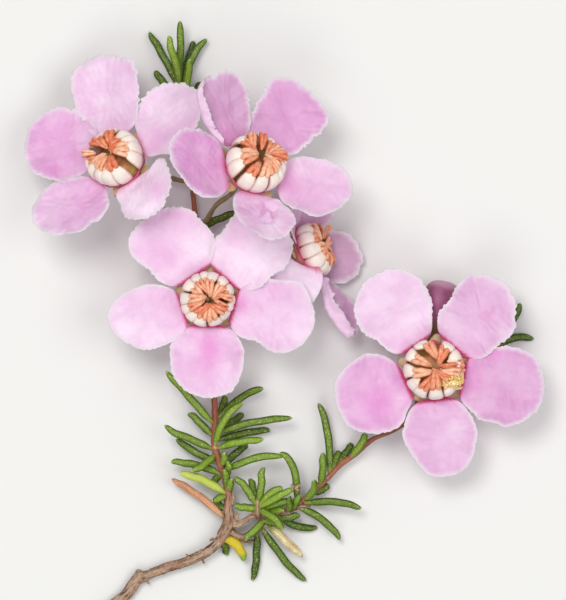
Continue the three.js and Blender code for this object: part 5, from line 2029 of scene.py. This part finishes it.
FLOWERS: tuple[Flower, ...] = (
    Flower(
        "flower_a", FlowerFrame((119, 162, 5.6), 2.1, 32, 138), TWIGS["upright"],
        stalk=((146, 176, 2.9), (163, 176, 2.1), (181, 180, 1.5)),
        stamens=(14, -12, -60, -92, -116, -140, -164, 172, 148, 122, 92, 60, 36),
        petals=(
            Petal(
                102, (103, 55, 3.6), (2.75, 0.7), (2.6, 0.66), pale=0.62, ragged=1.6,
                flushes_and_painted_light=(Mark(130, 72, 13, 0.12), Mark(84, 112, 12, 0.1)),
                notches=(Mark(141, 74, 5, -0.12), Mark(134, 60, 10, -0.3)),
            ),
            Petal(
                163, (24, 140, 3.6), (2.65, 0.5), (3.0, 0.5), pale=0.22, ragged=1.3,
                flushes_and_painted_light=(Mark(62, 148, 26, 0.2), Mark(84, 138, 12, -0.3)),
                notches=(Mark(26, 150, 14, 0.15), Mark(75, 178, 14, 0.25)),
            ),
            Petal(
                235, (37, 228, 6.6), (2.4, 0.5), (2.35, 0.55), pale=0.36, ragged=1.2,
                flushes_and_painted_light=(Mark(85, 197, 14, 0.2), Mark(50, 222, 14, -0.2)), notches=(Mark(111, 194, 8, 0.35),),
            ),
            Petal(
                298, (160, 211, 9.0), (2.75, 0.42), (1.95, 0.42), pale=0.86, ragged=1.3,
                flushes_and_painted_light=(Mark(158, 188, 13, 0.3), Mark(138, 207, 11, -0.3), Mark(152, 166, 9, -0.4)),
                notches=(Mark(117, 206, 10, 0.45), Mark(165, 163, 15, -0.42)),
            ),
            Petal(
                25, (195, 89, 6.0), (2.8, 0.5), (2.3, 0.6), pale=0.66, ragged=1.2,
                flushes_and_painted_light=(Mark(157, 140, 13, 0.3), Mark(190, 132, 11, 0.25), Mark(167, 110, 20, -0.15)),
                notches=(Mark(158, 160, 12, 0.4),),
            ),
        ),
        blush=0.35, anther_reach=0.68, anther_inner=0.12, sway=0.24,
        spilled=(
            (172, 0.75, 0.1), (148, 0.45, -0.15), (-164, 0.5, 0.0), (92, 0.3, -0.1), (-12, 0.2, 0.15),
            (14, 0.1, -0.1),
        ),
    ),
    Flower(
        "flower_b", FlowerFrame((252, 168, 7.6), 2.2, 34, 48), TWIGS["upright"],
        stalk=((231, 194, 4.9), (216, 205, 3.6), (205, 221, 2.1)),
        stamens=(175, -158, -120, -92, -58, -38, -16, 6, 30, 55, 80, 104, 132),
        petals=(
            Petal(
                180, (170, 153, 10.4), (3.15, 0.5), (2.3, 0.5), pale=0.16, flushes_and_painted_light=(Mark(206, 170, 20, 0.2),),
                notches=(Mark(212, 196, 12, -0.3), Mark(228, 188, 8, -0.25)),
            ),
            Petal(
                118, (221, 73, 7.8), (3.2, 0.8), (1.85, 0.62), fold=Fold(Side.LEFT), pale=0.16, ragged=1.3,
                dim=0.42, flushes_and_painted_light=(Mark(227, 136, 13, 0.4),),
            ),
            Petal(
                55, (316, 97, 5.4), (3.0, 0.74), (2.3, 0.6), pale=0.1, dim=0.14, ragged=1.5,
                flushes_and_painted_light=(Mark(300, 122, 22, 0.15), Mark(268, 150, 10, 0.25)),
                notches=(Mark(327, 118, 8, -0.25), Mark(304, 82, 10, 0.12)),
            ),
            Petal(
                -15, (350, 195, 7.0), (2.35, 0.5), (2.7, 0.5), pale=0.62,
                flushes_and_painted_light=(Mark(322, 196, 24, 0.3), Mark(287, 183, 15, 0.45)),
                notches=(Mark(312, 152, 18, 0.22), Mark(316, 217, 16, -0.2)),
            ),
            Petal(
                -96, (272, 241, 11.2), (2.45, 0.62), (1.95, 0.5), pale=0.52,
                flushes_and_painted_light=(
                    Mark(248, 212, 12, 0.15), Mark(276, 230, 12, -0.3), Mark(271, 215, 3.5, 0.4),
                    Mark(263, 209, 4, 0.3),
                ),
                creases=(
                    Crease((261, 216), (266, 207), 0.3), Crease((266, 207), (275, 210), 0.3),
                    Crease((275, 210), (272, 221), 0.3), Crease((272, 221), (264, 222), 0.3),
                    Crease((268, 213), (270, 217), -0.16), Crease((246, 226), (262, 238), 0.06),
                ),
            ),
        ),
        blush=0.45, anther_reach=0.7, anther_inner=0.07, sway=0.26,
        spilled=(
            (132, 0.25, 0.0), (104, 0.4, 0.15), (80, 0.4, 0.0), (55, 0.25, -0.15), (30, 0.35, 0.0),
            (6, 0.35, 0.1), (-16, 0.15, 0.1), (-38, 0.1, 0.0),
        ),
    ),
    Flower(
        "flower_c", FlowerFrame((306, 253, 2.6), 1.95, 76, 22), TWIGS["upright"],
        stalk=((262, 268, 1.75), (235, 273, 1.5), (211, 273, 1.3)),
        stamens=(5, 38, 70, 102, 136, 168, 200, 232, 264, 298, 332),
        petals=(
            Petal(228, (272, 298, 4.6), (2.2, 0.6), (2.2, 0.6), arch=0.7, facing=(0, 0, 1), pale=1.1, dim=0.08),
            Petal(156, (290, 190, 5.0), (1.5, 0.5), (1.9, 0.6), pale=0.3, dim=0.38),
            Petal(84, (326, 192, 1.5), (1.9, 0.6), (1.6, 0.6), facing=(0.6, 0.24, 0.76), pale=0.2, dim=0.38),
            Petal(
                12, (363, 262, 0.7), (2.1, 0.55), (2.0, 0.55), spring=0.12, facing=(0, 0, 1), pale=0.2,
                dim=0.72,
            ),
            Petal(
                300, (350, 343, 2.7), (1.9, 0.55), (2.0, 0.55), bank=24, fold=Fold(Side.RIGHT, 1.15), pale=0.3,
                dim=0.38,
            ),
        ),
        blush=0.8, anther_reach=0.74, spilled=((102, 0.5, 0.0), (70, 0.3, 0.0), (332, 0.3, 0.1)),
        heaps=(Heap((329, 228, 3.9), (0.16, 0.22, 0.14), 16, 0.13, StamenPart.ANTHER),),
        tall=0.74,
    ),
    Flower(
        "flower_d", FlowerFrame((208, 299, 5.0), 1.96, 3, 200), TWIGS["upright"],
        stalk=((209, 303, 2.3), (214, 318, 1.9), (217, 336, 1.6)),
        stamens=(98, 77, 48, 22, -1, -19, -40, -69, -106, -134, -157, 178, 144, 117),
        petals=(
            Petal(
                123, (152, 211, 5.4), (3.1, 0.6), (3.1, 0.55), pale=0.66,
                flushes_and_painted_light=(
                    Mark(162, 254, 22, 0.16), Mark(178, 213, 18, 0.2), Mark(200, 247, 14, -0.3),
                    Mark(180, 276, 10, -0.2),
                ),
                ragged=0.8, notches=(Mark(148, 274, 17, 0.4), Mark(206, 220, 12, 0.3)),
            ),
            Petal(
                50, (282, 220, 5.7), (2.9, 0.5), (2.8, 0.55), pale=0.78,
                flushes_and_painted_light=(Mark(243, 262, 16, -0.3), Mark(276, 262, 14, -0.3), Mark(232, 234, 14, 0.12)),
                creases=(Crease((262, 234), (258, 262), 0.09, 0.22), Crease((262, 240), (282, 236), 0.06, 0.2)),
                notches=(Mark(219, 229, 14, 0.4), Mark(273, 282, 12, 0.35)),
            ),
            Petal(
                -17, (315, 321, 5.5), (2.6, 0.6), (2.75, 0.6), pale=0.52, ragged=0.8,
                flushes_and_painted_light=(Mark(272, 292, 13, 0.2), Mark(243, 303, 8, 0.4), Mark(303, 330, 16, -0.3)),
                creases=(Crease((258, 291), (280, 284), 0.06),),
                notches=(Mark(298, 284, 12, -0.3), Mark(254, 344, 14, 0.4)),
            ),
            Petal(
                -92, (209, 399, 5.3), (2.75, 0.45), (2.7, 0.5), pale=0.46, ragged=0.7,
                flushes_and_painted_light=(Mark(209, 346, 12, 0.6), Mark(206, 366, 16, 0.3), Mark(228, 380, 14, -0.3)),
                notches=(Mark(236, 388, 12, -0.15),),
            ),
            Petal(
                -160, (108, 324, 5.2), (2.4, 0.45), (2.35, 0.5), pale=0.58, ragged=0.6,
                flushes_and_painted_light=(Mark(122, 330, 18, -0.3), Mark(162, 300, 16, 0.14), Mark(162, 336, 14, -0.25)),
            ),
        ),
        blush=1.15, anther_reach=0.7, anther_inner=0.07, sway=0.28,
        spilled=(
            (117, 0.25, -0.1), (98, 0.35, 0.0), (77, 0.1, 0.1), (48, 0.3, -0.1), (22, 0.2, 0.0), (-1, 0.4, 0.1),
            (-19, 0.4, 0.0), (-40, 0.25, 0.1), (-69, 0.1, -0.1), (-134, -0.1, 0.15),
        ),
    ),
    Flower(
        "flower_e", FlowerFrame((434, 370, 3.5), 2.2, 3, 100), TWIGS["side"],
        stalk=((432, 374, 0.95), (428, 388, 0.75), (418, 402, 0.7)),
        stamens=(119, 58, 31, 9, -11, -34, -56, -85, -119, -142, -176, 149),
        petals=(
            Petal(
                124, (373, 275, 4.2), (2.95, 0.6), (2.95, 0.6), pale=0.66,
                flushes_and_painted_light=(Mark(404, 344, 14, 0.1), Mark(384, 305, 20, -0.2)),
                notches=(Mark(435, 310, 22, 0.34), Mark(374, 346, 14, 0.35)),
            ),
            Petal(
                50, (502, 281, 4.4), (2.8, 0.5), (3.0, 0.5), pale=0.42, dim=0.1, ragged=1.3,
                flushes_and_painted_light=(Mark(486, 316, 8, 0.3), Mark(455, 330, 14, -0.3)),
                creases=(
                    Crease((470, 280), (478, 308), 0.12, 0.16), Crease((496, 305), (478, 322), 0.1, 0.18),
                    Crease((486, 300), (492, 312), 0.06), Crease((462, 296), (466, 316), 0.05),
                ),
                notches=(
                    Mark(478, 278, 4, 0.2), Mark(470, 278, 6, -0.1), Mark(444, 297, 20, 0.56),
                    Mark(500, 349, 14, 0.35),
                ),
            ),
            Petal(
                -13, (545, 392, 3.9), (2.75, 0.6), (3.1, 0.5), pale=0.14, dim=0.15,
                flushes_and_painted_light=(Mark(495, 352, 10, 0.4), Mark(474, 382, 10, 0.3)),
                notches=(
                    Mark(492, 418, 7, 0.3), Mark(478, 414, 5, -0.1), Mark(474, 412, 12, 0.3),
                    Mark(508, 426, 10, -0.12), Mark(532, 354, 12, -0.2),
                ),
            ),
            Petal(
                -84, (449, 477, 3.5), (2.55, 0.55), (2.8, 0.45), pale=0.34, dim=0.12, ragged=0.8,
                flushes_and_painted_light=(Mark(418, 440, 10, 0.12), Mark(455, 430, 12, -0.3)),
                creases=(
                    Crease((430, 414), (434, 450), 0.05, 0.25), Crease((452, 420), (460, 455), 0.05, 0.25),
                ),
                notches=(Mark(414, 458, 16, 0.2),),
            ),
            Petal(
                -155, (336, 407, 3.9), (2.95, 0.5), (2.9, 0.5), pale=0.26, ragged=0.8,
                flushes_and_painted_light=(Mark(380, 402, 20, 0.42), Mark(398, 398, 9, -0.3)),
                creases=(Crease((366, 386), (384, 378), 0.04),), notches=(Mark(410, 412, 12, 0.25),),
            ),
        ),
        blush=1.25, anther_reach=0.72, anther_inner=0.04, sway=0.3,
        spilled=(
            (119, 0.25, -0.45), (58, 0.3, 0.1), (31, 0.1, 0.0), (9, 0.35, 0.1), (-11, 0.3, 0.0),
            (149, 0.2, 0.1), (-176, 0.0, 0.2), (-119, -0.05, 0.2),
        ),
        bare=(-142, 31),
        heaps=(
            Heap((451, 378, 5.4), (0.75, 0.55, 0.14), 34, 0.26, StamenPart.POLLEN),
            Heap((451, 378, 5.55), (0.95, 0.72, 0.28), 560, 0.085, StamenPart.POLLEN),
            Heap((447, 373, 5.5), (0.5, 0.3, 0.2), 60, 0.06, StamenPart.POLLEN),
            Heap((459, 385, 5.05), (0.3, 0.4, 0.25), 70, 0.07, StamenPart.POLLEN),
            Heap((461, 367, 5.05), (0.32, 0.5, 0.28), 60, 0.14, StamenPart.ANTHER),
            Heap((438, 391, 5.2), (0.2, 0.16, 0.1), 26, 0.055, StamenPart.POLLEN),
        ),
    ),
)


# Bud


@dataclass(frozen=True)
class Bud:
    """The closed bud behind the last flower, on a stalk of its own."""

    foot: Place = (435, 336, 1.3)
    top: Place = (445, 281, 1.6)
    radius: float = 1.3
    stalk: tuple[Place, ...] = ((423, 352, 1.1), (409, 378, 0.9), (405, 402, 0.8))
    seat: Place = (404, 420, 0.75)
    stalk_radius: float = 0.17
    petals: int = 5
    sides: int = 60
    rows: int = 48

    def build(self, kit: Kit) -> None:
        """Builds and dresses the head, with petals that wrap over one another, and the stalk.

        Args:
            kit: The finishes and growths.
        """
        foot, top = at(*self.foot), at(*self.top)
        s = np.sin(np.linspace(0, math.pi / 2, self.rows))
        full = np.interp(s, [0, 0.06, 0.12, 0.3, 0.45, 0.6], [0.15, 0.3, 0.45, 0.74, 0.92, 1])
        full = np.maximum(full * (1 - np.clip((s - 0.6) / 0.4, 0, 1) ** 3) ** (1 / 3), 0.04)
        path = foot + (top - foot) * s[:, None]
        turn = np.linspace(0, FULL_TURN, self.sides, endpoint=False)
        wrapped = self.petals * (turn + 1.2 * (s[:, None] - 0.4)) / FULL_TURN % 1
        overlap = smoothstep(wrapped, 0, 0.08) * (1 - wrapped) * smoothstep(s, 0.25, 0.4)[:, None]
        reach = self.radius * full[:, None] * (0.97 + 0.07 * overlap)
        rings = around(path, *carried(path, UP), reach * np.cos(turn), reach * np.sin(turn))
        surface = Surface()
        surface.add(*tube(rings), height=by_ring(s, self.sides), part=0.0)
        seat = TWIGS["side"].seat(at(*self.seat), at(*self.stalk[-1]), -0.06)
        points = [foot + (top - foot) * 0.05, *(at(*point) for point in self.stalk), seat]
        path = evenly(through(points, STALK_STEPS), 60)
        swelling = 0.05 * np.exp(-np.arange(len(path))[::-1] / 3)
        thick = self.stalk_radius * (1 + 0.08 * Waver(6, 1, 0.4, 1.5)(path[:, :1])) + swelling
        surface.add(*round_stalk(path, thick), height=0.0, part=1.0)
        dressed(surface.piece("flower_bud_petals", kit.bud), "bud", "flower_bud")


# Studio


@dataclass(frozen=True)
class Lamp:
    """A soft square light, by where it stands, its side in metres and its power in watts."""

    name: str
    place: Place
    size: float
    power: float
    colour: Colour = (1.0, 1.0, 1.0)

    def build(self) -> None:
        """Builds the light, aimed at the sprig."""
        light = bpy.data.lights.new(self.name, "AREA")
        light.size, light.energy, light.color = self.size, self.power, self.colour
        thing = linked(self.name, light)
        thing.location = self.place
        thing.rotation_euler = Vector(self.place).to_track_quat("Z", "Y").to_euler()


@dataclass(frozen=True)
class Studio:
    """A plain pale floor, soft lights and a camera that looks straight down on the sprig, in metres."""

    floor_reach: float = 3.0
    floor_gap: float = 0.00002
    world: float = 0.38
    lens: float = 600.0
    sensor: float = 36.0
    clip: tuple[float, float] = (0.05, 20.0)
    height: float = 0.7296
    aim: Spot = (-0.0001, 0.00168)
    lamps: tuple[Lamp, ...] = (
        Lamp("key_light", (-0.15, 0.2, 0.66), 0.26, 2.2, (1.0, 0.985, 0.97)),
        Lamp("fill_light", (0.32, -0.02, 0.58), 0.4, 1.1),
        Lamp("low_light", (-0.08, -0.38, 0.56), 0.4, 0.95),
    )

    def build(self) -> None:
        """Builds the floor, the lights and the camera."""
        scene = bpy.context.scene
        scene.view_settings.view_transform = "Standard"
        half, drop = self.floor_reach / MM, -self.floor_gap / MM
        surface = Surface()
        corners = [(x, y, drop) for x, y in ((-half, -half), (half, -half), (half, half), (-half, half))]
        surface.add(np.array(corners), [np.array([[0, 1, 2, 3]])])
        surface.piece("floor", FloorFinish().material())
        scene.world = bpy.data.worlds.new("soft_room")
        scene.world.use_nodes = True
        backdrop = scene.world.node_tree.nodes["Background"]
        backdrop.inputs["Color"].default_value = (1.0, 1.0, 1.0, 1.0)
        backdrop.inputs["Strength"].default_value = self.world
        for lamp in self.lamps:
            lamp.build()
        camera = bpy.data.cameras.new("camera")
        camera.lens, camera.sensor_width = self.lens, self.sensor
        camera.clip_start, camera.clip_end = self.clip
        scene.camera = linked("camera", camera)
        scene.camera.location = (*self.aim, self.height)


def main() -> None:
    """Builds the sprig piece by piece, then its studio."""
    logging.basicConfig(level=logging.INFO, format="%(name)s %(message)s")
    kit = Kit()
    for key, twig in TWIGS.items():
        twig.build(kit)
        Foliage(twig, LEAVES[key]).build(kit)
    for flower in FLOWERS:
        flower.build(kit)
    Bud().build(kit)
    Studio().build()


if __name__ == "__main__":
    main()
